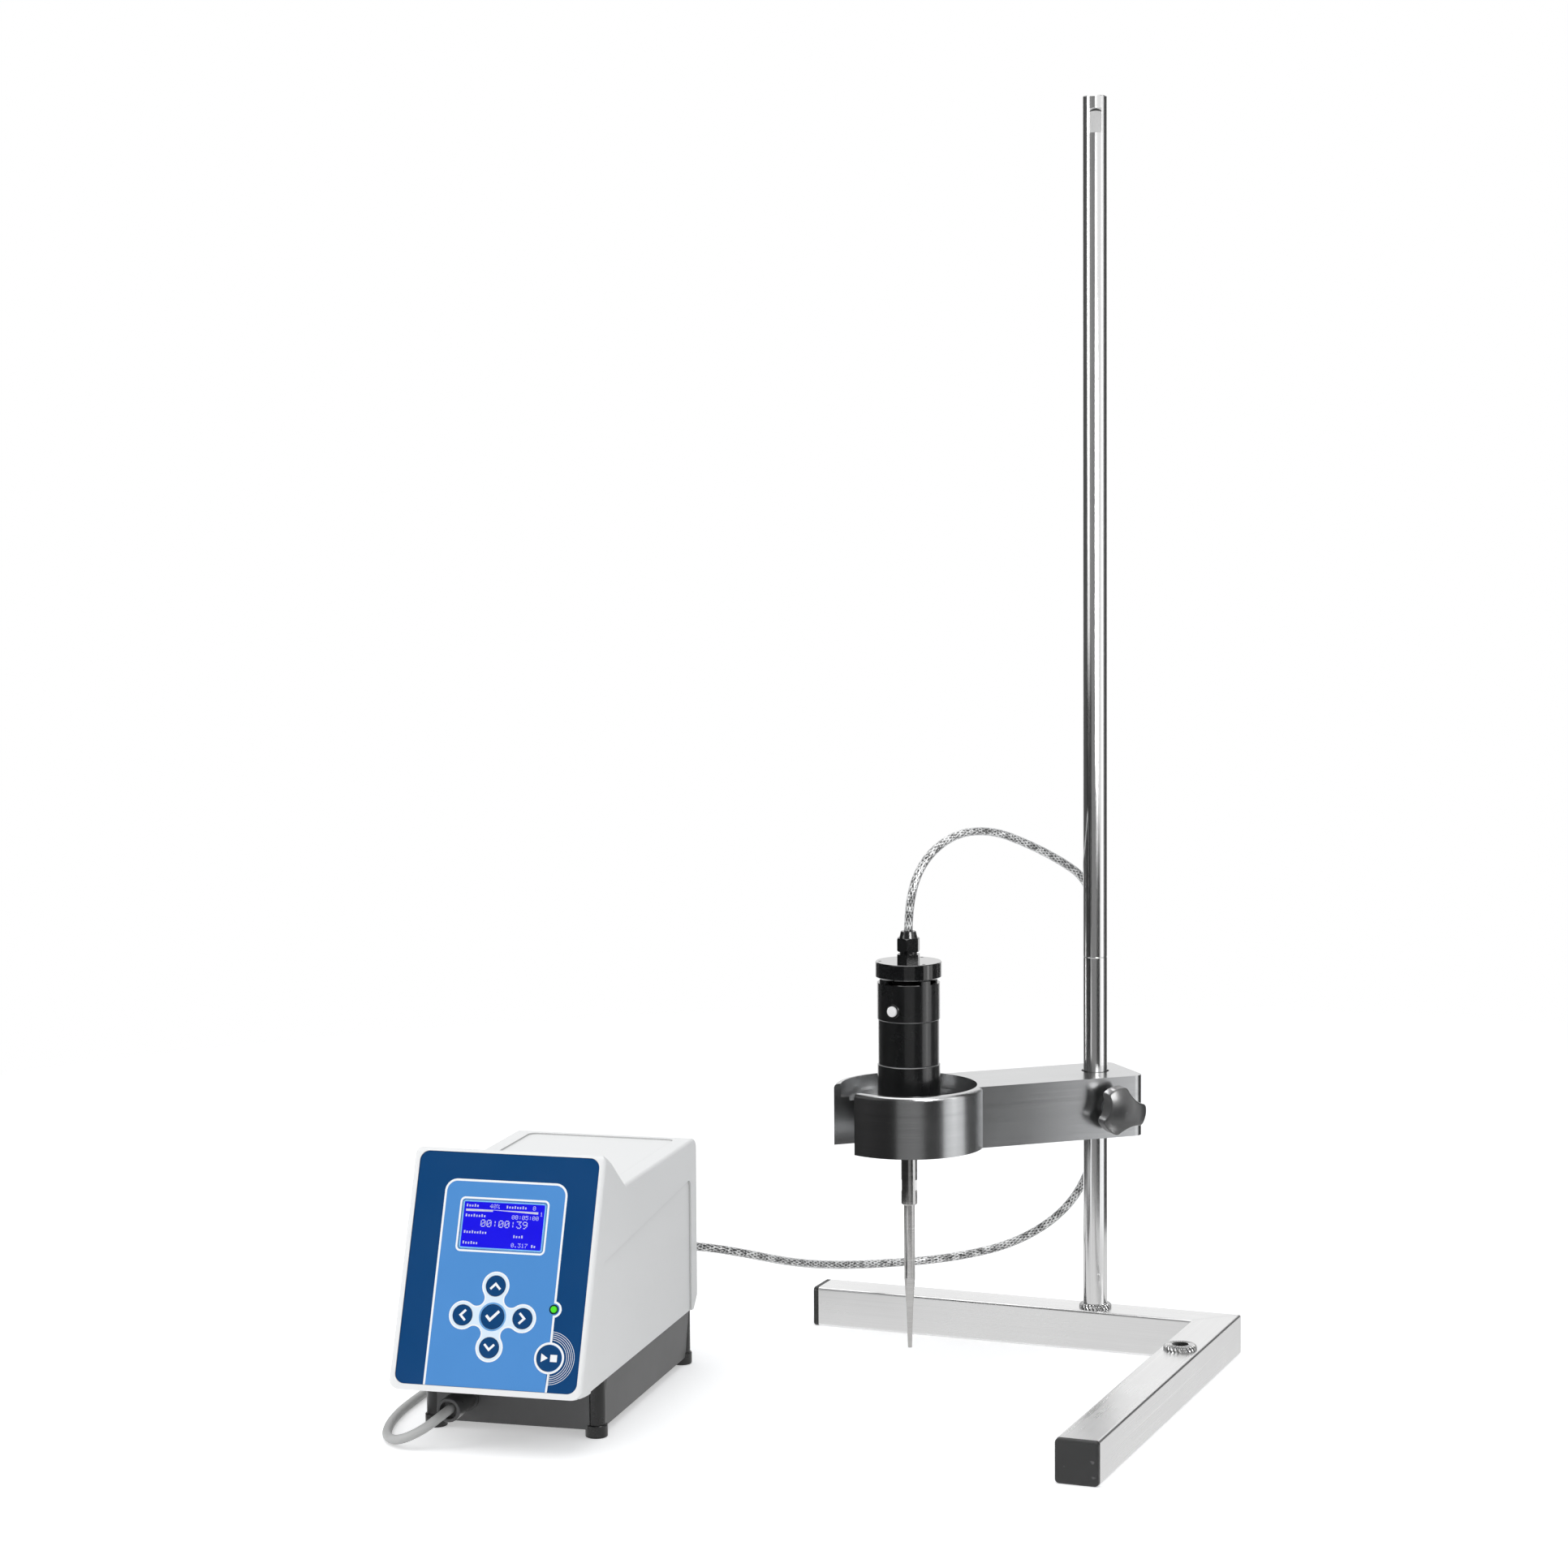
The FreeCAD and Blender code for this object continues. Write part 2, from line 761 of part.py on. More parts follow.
def make_cap():
    cap = turned(
        [
            (0, cap_low),
            (cap_radius - cap_chamfer, cap_low),
            (cap_radius, cap_low + cap_chamfer),
            (cap_radius, cap_top - shell_edge),
            (cap_radius - shell_edge, cap_top),
            (0, cap_top),
        ]
    )
    below = cap_low - overcut
    above = cap_top + overcut
    cap = cap.cut(disc(gland_thread, below, above))
    pins = []
    for i in range(pin_count):
        angle = math.radians(pin_angle + i * 360 / pin_count)
        x = pin_circle * math.cos(angle)
        y = pin_circle * math.sin(angle)
        cap = cap.cut(disc(pin_radius, below, above, x, y))
        pins.append(disc(pin_radius - thread_slack, cap_low, cap_top - pin_sunk, x, y))
    save("converter_cap", cap, converter_place)
    save("cap_screws", Part.makeCompound(pins), converter_place)


def make_gland():
    foot = cap_top - gland_sunk
    body = hexagon(gland_flats, cap_top, gland_neck_low)
    body = body.fuse(disc(gland_neck_radius, gland_neck_low, gland_nut_low))
    body = body.fuse(disc(gland_thread - thread_slack, foot, cap_top))
    body = body.cut(disc(cable_radius, foot - overcut, gland_nut_low + overcut))
    save("gland_body", body, converter_place)

    corner = gland_flats / math.sqrt(3)
    c = gland_chamfer
    crown = turned(
        [
            (0, gland_nut_low),
            (corner - c, gland_nut_low),
            (corner, gland_nut_low + c),
            (corner, gland_nut_high - c),
            (corner - c, gland_nut_high),
            (0, gland_nut_high),
        ]
    )
    nut = hexagon(gland_flats, gland_nut_low, gland_nut_high).common(crown)
    dome = turned(
        [
            (0, gland_nut_high),
            (gland_flats / 2 - c, gland_nut_high),
            (gland_dome_radius + gland_dome_swell, gland_nut_high + gland_dome_height / 2),
            (gland_dome_radius, gland_top),
            (0, gland_top),
        ]
    )
    nut = nut.fuse(dome).cut(disc(cable_radius, gland_nut_low - overcut, gland_top + overcut))
    save("gland_nut", nut, converter_place)


def make_horn():
    # The flange sits in the neck of the lower shell
    flange_high = neck_floor + horn_flange_height
    c = horn_chamfer
    bolt_low = horn_face - disc_height
    thread_end = horn_end + tip_thread_length + thread_run_out
    horn = turned(
        [
            (0, thread_end),
            (tip_thread, thread_end),
            (tip_thread, horn_end),
            (horn_radius - c, horn_end),
            (horn_radius, horn_end + c),
            (horn_radius, neck_floor - horn_cone_height),
            (horn_head_radius - c, neck_floor - horn_head_lip),
            (horn_head_radius - c, neck_floor),
            (horn_flange_radius, neck_floor),
            (horn_flange_radius, flange_high),
            (horn_head_radius, flange_high),
            (horn_head_radius, horn_face),
            (bolt_radius, horn_face),
            (bolt_radius, bolt_low),
            (0, bolt_low),
        ]
    )
    reach = horn_radius - horn_flat_depth
    flat_low = horn_end + horn_flat_above_end
    flat_high = flat_low + horn_flat_height
    cutter = box(reach, horn_radius + overcut, -horn_radius, horn_radius, flat_low, flat_high)
    for side in (0, 180):
        horn = horn.cut(turned_about_z(cutter, horn_flat_angle + side))
    save("horn", horn, converter_place)

    tip = turned(
        [
            (0, tip_end),
            (tip_end_radius, tip_end),
            (tip_neck_radius, tip_neck),
            (tip_radius, tip_shoulder),
            (tip_radius, horn_end),
            (tip_thread - thread_slack, horn_end),
            (tip_thread - thread_slack, horn_end + tip_thread_length),
            (0, horn_end + tip_thread_length),
        ]
    )
    save("probe_tip", tip, converter_place)


def make_stack():
    # Two discs with a contact plate between them and a back mass, all held down by one bolt
    bore = bolt_radius + bolt_clearance

    def layer(low, height):
        return disc(disc_radius, low, low + height).cut(disc(bore, low, low + height))

    plate_low = horn_face + disc_height
    upper_low = plate_low + plate_height
    mass_low = upper_low + disc_height
    mass_high = mass_low + back_mass_height
    discs = [layer(horn_face, disc_height), layer(upper_low, disc_height)]
    save("piezo_discs", Part.makeCompound(discs), converter_place)
    half_tab = plate_tab / 2
    tab = box(disc_radius - plate_tab, disc_radius + plate_tab, -half_tab, half_tab, plate_low, upper_low)
    plate = layer(plate_low, plate_height).fuse(tab).removeSplitter()
    save("electrode_plate", plate, converter_place)
    save("back_mass", layer(mass_low, back_mass_height), converter_place)

    head_high = mass_high + bolt_head_height
    bolt = disc(bolt_radius - thread_slack, horn_face - disc_height, mass_high)
    bolt = bolt.fuse(disc(bolt_head_radius, mass_high, head_high))
    socket = hexagon(bolt_head_radius, mass_high + bolt_socket_floor, head_high + overcut)
    save("stack_bolt", bolt.cut(socket), converter_place)


def in_body_frame(shape):
    # From the front panel frame to the generator's own frame
    moved = shape.copy()
    tilt = Placement(Vector(0, 0, body_bottom), Rotation(Vector(1, 0, 0), 90 - panel_lean))
    moved.Placement = tilt.multiply(moved.Placement)
    return moved


def key_list():
    p, u = pad_pitch_across, pad_pitch_up
    return (
        ("key_up", 0, pad_centre + u, arrow_key_radius),
        ("key_down", 0, pad_centre - u, arrow_key_radius),
        ("key_left", -p, pad_centre, arrow_key_radius),
        ("key_right", p, pad_centre, arrow_key_radius),
        ("key_set", 0, pad_centre, set_key_radius),
        ("key_start", start_key_across, start_key_up, start_key_radius),
    )


def make_upper_housing():
    outline = [
        (0, body_bottom),
        (panel_run, body_top),
        (notch_y, deck_height),
        (body_depth, deck_height),
        (body_depth, body_bottom + rear_chamfer),
        (body_depth - rear_chamfer, body_bottom),
    ]
    body = side_prism(outline, -half_body, half_body)

    def edges_across(y, z):
        return [
            e
            for e in upright_edges(body, Vector(1, 0, 0))
            if abs(e.BoundBox.YMin - y) < edge_tolerance and abs(e.BoundBox.ZMin - z) < edge_tolerance
        ]

    ridge = edges_across(panel_run, body_top) + edges_across(notch_y, deck_height)
    body = body.makeFillet(nose_round, ridge)
    body = body.makeFillet(deck_round, edges_across(body_depth, deck_height))
    flanks = [
        e
        for e in body.Edges
        if abs(abs(e.BoundBox.XMin) - half_body) < edge_tolerance
        and e.BoundBox.XLength < edge_tolerance
        and e.BoundBox.ZMax > body_bottom + edge_tolerance
    ]
    body = body.makeFillet(side_round, flanks)

    w = body_wall
    slope = math.radians(panel_lean)
    front_wall = w / math.cos(slope)
    deck_wall = w + deck_depth
    inner = [
        (front_wall - overcut * math.tan(slope), body_bottom - overcut),
        (front_wall + panel_run - ridge_wall * math.tan(slope), body_top - ridge_wall),
        (notch_y, deck_height - deck_wall),
        (body_depth - w, deck_height - deck_wall),
        (body_depth - w, body_bottom - overcut),
    ]
    body = body.cut(side_prism(inner, w - half_body, half_body - w))

    # Rounded corners of the front, cut square to the panel until they run out behind
    for side in (-1, 1):
        for centre_y, outer_y in (
            (front_corner, -overcut),
            (panel_length - front_corner, panel_length + overcut),
        ):
            centre_x = side * (half_body - front_corner)
            across_from, across_to = sorted((centre_x, side * (half_body + overcut)))
            up_from, up_to = sorted((centre_y, outer_y))
            block = box(across_from, across_to, up_from, up_to, -front_corner_reach, overcut)
            round_part = disc(front_corner, -front_corner_reach, overcut, centre_x, centre_y)
            body = body.cut(in_body_frame(block.cut(round_part)))

    # Shallow fields in both sides and in the deck
    high_front_y = field_front + (field_high_front - body_bottom) * math.tan(slope)
    field = [
        (field_front, body_bottom - overcut),
        (high_front_y, field_high_front),
        (body_depth - field_rear, field_high_rear),
        (body_depth - field_rear, body_bottom - overcut),
    ]
    for side in (-1, 1):
        left, right = sorted((side * (half_body + overcut), side * (half_body - field_depth)))
        panel = side_prism(field, left, right)
        high = [e for e in upright_edges(panel, Vector(1, 0, 0)) if e.BoundBox.ZMin > body_bottom]
        body = body.cut(panel.makeFillet(field_corner, high))
    deck_half = half_body - deck_margin
    deck = rounded_block(
        -deck_half,
        deck_half,
        notch_y + deck_margin,
        body_depth - deck_margin,
        deck_height - deck_depth,
        deck_height + overcut,
        field_corner,
    )
    body = body.cut(deck)

    # Front: the foil's bed, the window, the key pockets and the lamp hole
    half_foil = half_body - rim_width
    bed_high = panel_length - rim_width
    bed = rounded_block(-half_foil, half_foil, rim_width, bed_high, -foil_sunk, body_wall, rim_corner)
    below = -body_wall - overcut
    window_half = window_width / 2 - window_lip
    window = rounded_block(
        -window_half,
        window_half,
        window_low + window_lip,
        window_high - window_lip,
        below,
        0,
        window_corner,
    )
    cuts = [bed, window]
    for _, across_at, up_at, radius in key_list():
        cuts.append(disc(radius + key_slack, -foil_sunk - key_pocket, 0, across_at, up_at))
        cuts.append(disc(key_stem + key_guide_gap, below, 0, across_at, up_at))
    cuts.append(disc(led_radius + foil_slack, below, 0, led_across, led_up))
    for cut in cuts:
        body = body.cut(in_body_frame(cut))

    # Rear window with a rebate for the rear panel
    half_rear = rear_width / 2
    rebate_front = body_depth - rear_thickness
    rebate_back = body_depth + overcut
    body = body.cut(box(-half_rear, half_rear, rebate_front, rebate_back, rear_low, rear_high))
    inner_half = half_rear - rear_lip
    opening_front = body_depth - body_wall - overcut
    opening_low = rear_low + rear_lip
    opening_high = rear_high - rear_lip
    body = body.cut(box(-inner_half, inner_half, opening_front, body_depth, opening_low, opening_high))
    save("upper_housing", body, generator_place)


def make_front_panel():
    half_foil = half_body - rim_width - foil_slack
    low = rim_width + foil_slack
    high = panel_length - rim_width - foil_slack
    bed = -foil_sunk
    top = bed + foil_thickness
    foil = rounded_block(-half_foil, half_foil, low, high, bed, top, rim_corner)
    half_window = window_width / 2
    foil = foil.cut(
        rounded_block(-half_window, half_window, window_low, window_high, bed, top, window_corner)
    )
    key_top = top + key_proud
    for node, across_at, up_at, radius in key_list():
        foil = foil.cut(disc(radius + key_slack, bed, top, across_at, up_at))
        cap = disc(radius, bed, key_top, across_at, up_at)
        rim = [e for e in cap.Edges if e.BoundBox.ZMin > key_top - edge_tolerance]
        cap = cap.makeFillet(key_round, rim)
        save(node, cap.fuse(disc(key_stem, -key_stem_end, bed, across_at, up_at)), panel_place)
    foil = foil.cut(disc(led_radius + foil_slack, bed, top, led_across, led_up))
    save("front_foil", foil, panel_place)

    edge = half_window - foil_slack
    window = rounded_block(
        -edge, edge, window_low + foil_slack, window_high - foil_slack, bed, top, window_corner
    )
    save("display_window", window, panel_place)
    lcd = box(
        -half_window - lcd_margin,
        half_window + lcd_margin,
        window_low - lcd_margin,
        window_high + lcd_margin,
        -body_wall - lcd_depth,
        -body_wall,
    )
    save("lcd_module", lcd, panel_place)
    lamp = disc(led_radius, -led_length, top, led_across, led_up)
    dome = Part.makeSphere(led_radius, Vector(led_across, led_up, top))
    lamp = lamp.fuse(dome.common(disc(led_radius, top, top + led_radius / 2, led_across, led_up)))
    save("status_led", lamp, panel_place)

    board_top = -key_stem_end - key_travel - switch_gap - switch_size / 2
    half_board = half_body - board_margin
    board = box(
        -half_board,
        half_board,
        board_low,
        window_low - lcd_margin - board_below_lcd,
        board_top - board_thickness,
        board_top,
    )
    half_switch = switch_size / 2
    for _, across_at, up_at, _ in key_list():
        body = box(
            across_at - half_switch,
            across_at + half_switch,
            up_at - half_switch,
            up_at + half_switch,
            board_top,
            board_top + half_switch,
        )
        board = board.fuse(body)
    lamp_post = disc(led_radius, board_top, -led_length, led_across, led_up)
    save("keypad_board", board.fuse(lamp_post), panel_place)


def foot_places():
    across = half_body - tray_inset - foot_radius
    front = tray_front + foot_radius
    rear = body_depth - tray_rear_gap - foot_radius
    return (
        (-across, front),
        (across, front),
        (-across, rear),
        (across, rear),
    )


def make_lower_housing():
    half = half_body - tray_inset
    rear = body_depth - tray_rear_gap
    drop = (body_bottom - tray_low) * math.tan(math.radians(tray_draft))

    def level(inset, z, shrink):
        x = half - inset - shrink
        return Part.makePolygon(
            [
                Vector(-x, tray_front + inset, z),
                Vector(x, tray_front + inset, z),
                Vector(x, rear - inset, z),
                Vector(-x, rear - inset, z),
                Vector(-x, tray_front + inset, z),
            ]
        )

    outer = Part.makeLoft([level(0, tray_low, drop), level(0, body_bottom, 0)], True, True)
    floor = tray_low + tray_wall
    inner = Part.makeLoft(
        [level(tray_wall, floor, drop), level(tray_wall, body_bottom + overcut, 0)], True, True
    )
    tray = outer.cut(inner)
    # A flange on top closes the housing from below and lies inside its walls
    flange_x = half_body - body_wall - flange_slack
    flange_front = body_wall / math.cos(math.radians(panel_lean)) + flange_slack + flange_height
    flange_rear = body_depth - body_wall - rear_chamfer
    flange_high = body_bottom + flange_height
    flange = box(-flange_x, flange_x, flange_front, flange_rear, body_bottom, flange_high)
    well_x = half - tray_wall
    flange = flange.cut(
        box(
            -well_x + foot_radius * 2,
            well_x - foot_radius * 2,
            tray_front + tray_wall,
            rear - tray_wall - foot_radius * 2,
            body_bottom,
            flange_high,
        )
    )
    tray = tray.fuse(flange)
    # Each foot stands in a round pocket at a corner and shows through the corner's open side
    below = tray_low - overcut
    feet = []
    for x, y in foot_places():
        side_x = 1 if x > 0 else -1
        side_y = 1 if y > body_depth / 2 else -1
        bare = foot_bare * foot_radius
        post = disc(foot_radius + tray_wall, tray_low, body_bottom, x, y)
        tray = tray.fuse(post.common(outer))
        tray = tray.cut(disc(foot_radius + foot_slack, below, body_bottom, x, y))
        pad_top = foot_pad_height + foot_slack
        tray = tray.cut(disc(foot_pad_radius + foot_slack, below, pad_top, x, y))
        left, right = sorted((x - side_x * bare, side_x * half_body))
        front, back = sorted((y - side_y * bare, y + side_y * (foot_radius + overcut)))
        tray = tray.cut(box(left, right, front, back, below, body_bottom))
        foot = disc(foot_radius, 0, body_bottom, x, y)
        pad = disc(foot_pad_radius, 0, foot_pad_height, x, y)
        feet.append(foot.fuse(pad.makeFillet(foot_round, round_edges(pad))))
    save("generator_feet", Part.makeCompound(feet), generator_place)
    socket_hole = disc(plug_body_radius + socket_wall + socket_slack, 0, tray_wall + 2 * overcut)
    tray = tray.cut(along_y(socket_hole, plug_across, tray_front - overcut, plug_up))
    screws = []
    for x in (-base_screw_across, base_screw_across):
        for y in (base_screw_front, body_depth - base_screw_rear_gap):
            tray = tray.cut(disc(screw_radius + foot_slack, below, floor + overcut, x, y))
            screw = disc(screw_radius, tray_low, tray_low + screw_length, x, y)
            head = disc(screw_head_radius, tray_low - screw_head_height, tray_low, x, y)
            screws.append(screw.fuse(head))
    save("base_screws", Part.makeCompound(screws), generator_place)
    save("lower_housing", tray.removeSplitter(), generator_place)


def make_rear_panel():
    half = rear_width / 2 - rear_slack
    low = rear_low + rear_slack
    high = rear_high - rear_slack
    plate = box(-half, half, low, high, -rear_thickness, 0)
    plate = plate.cut(make_inlet()).cut(make_switch())
    for i in range(grille_slots):
        at = grille_up + (i - (grille_slots - 1) / 2) * grille_pitch
        slot = rounded_block(
            grille_across - grille_slot_length / 2,
            grille_across + grille_slot_length / 2,
            at - grille_slot_width / 2,
            at + grille_slot_width / 2,
            -rear_thickness - overcut,
            overcut,
            grille_round,
        )
        plate = plate.cut(slot)
    screws = []
    for x in (rear_screw_margin - half, half - rear_screw_margin):
        for y in (low + 2 * rear_screw_margin, high - 2 * rear_screw_margin):
            plate = plate.cut(disc(screw_radius, -rear_thickness, 0, x, y))
            screws.append(rear_screw(x, y, 0))
    clip_x = -clip_across
    foot_up = clip_up + clip_foot
    plate = plate.cut(disc(screw_radius, -rear_thickness, 0, clip_x, foot_up))
    save("rear_panel", plate, rear_place)

    # Clip: a loop around the cable on a flat foot held by one screw
    bore = cable_radius + clip_bore_slack
    left = clip_x - clip_width / 2
    right = clip_x + clip_width / 2
    across = Vector(1, 0, 0)
    loop_at = Vector(left, clip_up, clip_stand_off)
    loop = Part.makeCylinder(bore + clip_wall, clip_width, loop_at, across)
    foot = box(left, right, clip_up, foot_up + clip_width / 2, 0, clip_wall)
    web = box(left, right, clip_up, clip_up + clip_web, 0, clip_stand_off)
    hole = Part.makeCylinder(bore, clip_width, loop_at, across)
    clip = loop.fuse(foot).fuse(web).cut(hole)
    clip = clip.cut(disc(screw_radius, 0, clip_wall, clip_x, foot_up))
    save("cable_clip", clip.removeSplitter(), rear_place)
    screws.append(rear_screw(clip_x, foot_up, clip_wall))
    save("rear_screws", Part.makeCompound(screws), rear_place)


def rear_screw(x, y, seat):
    shank = disc(screw_radius - thread_slack, -rear_thickness, seat, x, y)
    return shank.fuse(disc(screw_head_radius, seat, seat + screw_head_height, x, y))


def make_inlet():
    # Returns the block that the rear panel is cut out for
    half = inlet_width / 2
    left = inlet_across - half
    right = inlet_across + half
    low = inlet_up - inlet_height / 2
    high = inlet_up + inlet_height / 2
    f = inlet_flange
    block = box(left, right, low, high, -inlet_depth, 0)
    flange = rounded_block(left - f, right + f, low - f, high + f, 0, inlet_flange_thickness, f)
    mouth = inlet_flange_thickness + overcut
    hollow = box(left + f, right - f, low + f, high - f, -inlet_hollow_depth, mouth)
    top_corners = [e for e in upright_edges(hollow, Vector(0, 0, 1)) if e.BoundBox.YMax > inlet_up]
    inlet = block.fuse(flange).cut(hollow.makeChamfer(f, top_corners))
    blade = box(
        -blade_thickness / 2,
        blade_thickness / 2,
        -blade_width / 2,
        blade_width / 2,
        -inlet_hollow_depth,
        -blade_sunk,
    )
    for x, y in ((-blade_spread, -blade_stagger), (blade_spread, -blade_stagger), (0, blade_stagger)):
        pin = blade.copy()
        pin.translate(Vector(inlet_across + x, inlet_up + y, 0))
        inlet = inlet.fuse(pin)
    save("mains_inlet", inlet, rear_place)
    return block


def make_switch():
    # Returns the block that the rear panel is cut out for
    half = rocker_width / 2
    left = rocker_across - half
    right = rocker_across + half
    low = rocker_up - rocker_height / 2
    high = rocker_up + rocker_height / 2
    r = rocker_frame
    block = box(left - r, right + r, low - r, high + r, -rocker_depth, r)
    well = box(left, right, low, high, r - rocker_depth, r + overcut)
    across = Vector(1, 0, 0)
    pin_at = Vector(left - r / 2, rocker_up, -rocker_pin_depth)
    pin_length = rocker_width + r
    pin_hole = Part.makeCylinder(rocker_pin_radius + thread_slack, pin_length, pin_at, across)
    save("mains_switch_frame", block.cut(well).cut(pin_hole), rear_place)

    # The rocker is a shallow V seen from the side and turns on two short pins; it rests tilted
    g = rocker_gap
    reach = rocker_height / 2 - 2 * g
    foot = -rocker_depth / 3
    outline = [
        (reach, r + rocker_rise),
        (0, r),
        (-reach, r + rocker_rise),
        (2 * g - reach, foot),
        (reach - 2 * g, foot),
    ]
    rocker = side_prism([(rocker_up + y, z) for y, z in outline], left + g, right - g)
    pin_start = pin_at + Vector(rocker_pin_gap, 0, 0)
    pin = Part.makeCylinder(rocker_pin_radius, pin_length - 2 * rocker_pin_gap, pin_start, across)
    rocker = rocker.fuse(pin)
    rocker.rotate(pin_at, across, rocker_tilt)
    save("mains_rocker", rocker, rear_place)
    return block


def make_boards():
    floor = tray_low + tray_wall
    post_high = main_board_height
    half = main_board_width / 2
    rear = body_depth - main_board_rear_gap
    board_high = post_high + board_thickness
    board = box(-half, half, main_board_front, rear, post_high, board_high)
    inset = board_post_inset
    for x in (-half + inset, half - inset):
        for y in (main_board_front + inset, rear - inset):
            board = board.fuse(disc(board_post_radius, floor, post_high, x, y))
    save("main_board", board, generator_place)

    ring = turned(
        [
            (toroid_bore, 0),
            (toroid_radius, 0),
            (toroid_radius, toroid_height),
            (toroid_bore, toroid_height),
        ]
    )
    ring = ring.makeFillet(toroid_round, round_edges(ring))
    toroid_y = body_depth - toroid_from_rear
    ring_place = generator_place.multiply(Placement(Vector(0, toroid_y, board_high), Rotation()))
    save("hf_transformer", ring, ring_place)

    sink_half = sink_fins * sink_pitch / 2
    sink_rear = toroid_y - toroid_radius - toroid_gap
    base_high = board_high + sink_base
    fin_high = board_high + sink_height
    sink = box(-sink_half, sink_half, sink_front, sink_rear, board_high, base_high)
    for i in range(sink_fins):
        left = -sink_half + i * sink_pitch + (sink_pitch - sink_fin_width) / 2
        fin = box(left, left + sink_fin_width, sink_front, sink_rear, board_high, fin_high)
        sink = sink.fuse(fin)
    save("heat_sink", sink.removeSplitter(), generator_place)


def make_plug():
    # Drawn along +Z out of the lower housing's front face, then laid along -Y
    to_front = generator_place.multiply(
        Placement(Vector(plug_across, tray_front, plug_up), Rotation(Vector(1, 0, 0), 90))
    )
    socket = disc(socket_radius, 0, socket_flange)
    socket = socket.fuse(disc(plug_body_radius + socket_wall, -socket_body, 0))
    socket = socket.cut(disc(plug_body_radius, tray_wall - socket_body, socket_flange + overcut))
    save("front_socket", socket, to_front)
    body_high = socket_flange + plug_body_length
    mouth = body_high + plug_collar_length
    body = disc(plug_body_radius - thread_slack, tray_wall - socket_body, body_high)
    body = body.fuse(disc(plug_mouth_radius, body_high, mouth - plug_mouth_depth))
    bore_low = mouth - 2 * plug_mouth_depth
    body = body.cut(disc(cable_radius, bore_low, mouth))
    save("plug_body", body, to_front)
    collar = disc(plug_collar_radius, body_high, mouth)
    collar = collar.makeFillet(plug_edge, round_edges(collar))
    collar = collar.cut(disc(plug_mouth_radius, body_high - overcut, mouth + overcut))
    save("plug_collar", collar, to_front)
    return to_front.multVec(Vector(0, 0, bore_low))


def make_splice(front, rear):
    # Moulded joint that lies on the table where the braided cable goes into the grey lead
    t = splice_taper
    neck = cable_radius + splice_neck
    outline = [
        (0, 0),
        (neck, 0),
        (splice_radius, t),
        (splice_radius, splice_length - t),
        (neck, splice_length),
        (0, splice_length),
    ]
    solid = turned(outline)
    turn = Rotation(Vector(0, 0, 1), rear - front)
    save("cable_splice", solid, Placement(front, turn))


def cord(node, points):
    # Straight runs joined by arcs, each as large as the two runs beside it allow
    edges = []
    start = points[0]
    for before, corner, after in zip(points, points[1:], points[2:]):
        back = before - corner
        ahead = after - corner
        setback = arc_share * min(back.Length, ahead.Length)
        half_turn = (math.pi - back.getAngle(ahead)) / 2
        radius = setback / math.tan(half_turn)
        back.normalize()
        ahead.normalize()
        middle = back + ahead
        middle.normalize()
        first = corner + back * setback
        last = corner + ahead * setback
        crown = corner + middle * (radius / math.cos(half_turn) - radius)
        edges.append(Part.LineSegment(start, first).toShape())
        edges.append(Part.Arc(first, crown, last).toShape())
        print(f"{node}: radius {radius:.1f}, turn {math.degrees(2 * half_turn):.0f}")
        start = last
    edges.append(Part.LineSegment(start, points[-1]).toShape())
    path = Part.Wire(edges)
    section = Part.Face(Part.Wire(Part.makeCircle(cable_radius, points[0], points[1] - points[0])))
    solid = path.makePipe(section)
    expected = section.Area * path.Length
    print(f"{node}: length {path.Length:.1f}, volume {solid.Volume:.0f}, section x length {expected:.0f}")
    save(node, solid)


def route(place, points):
    return [place.multVec(Vector(*point)) for point in points]


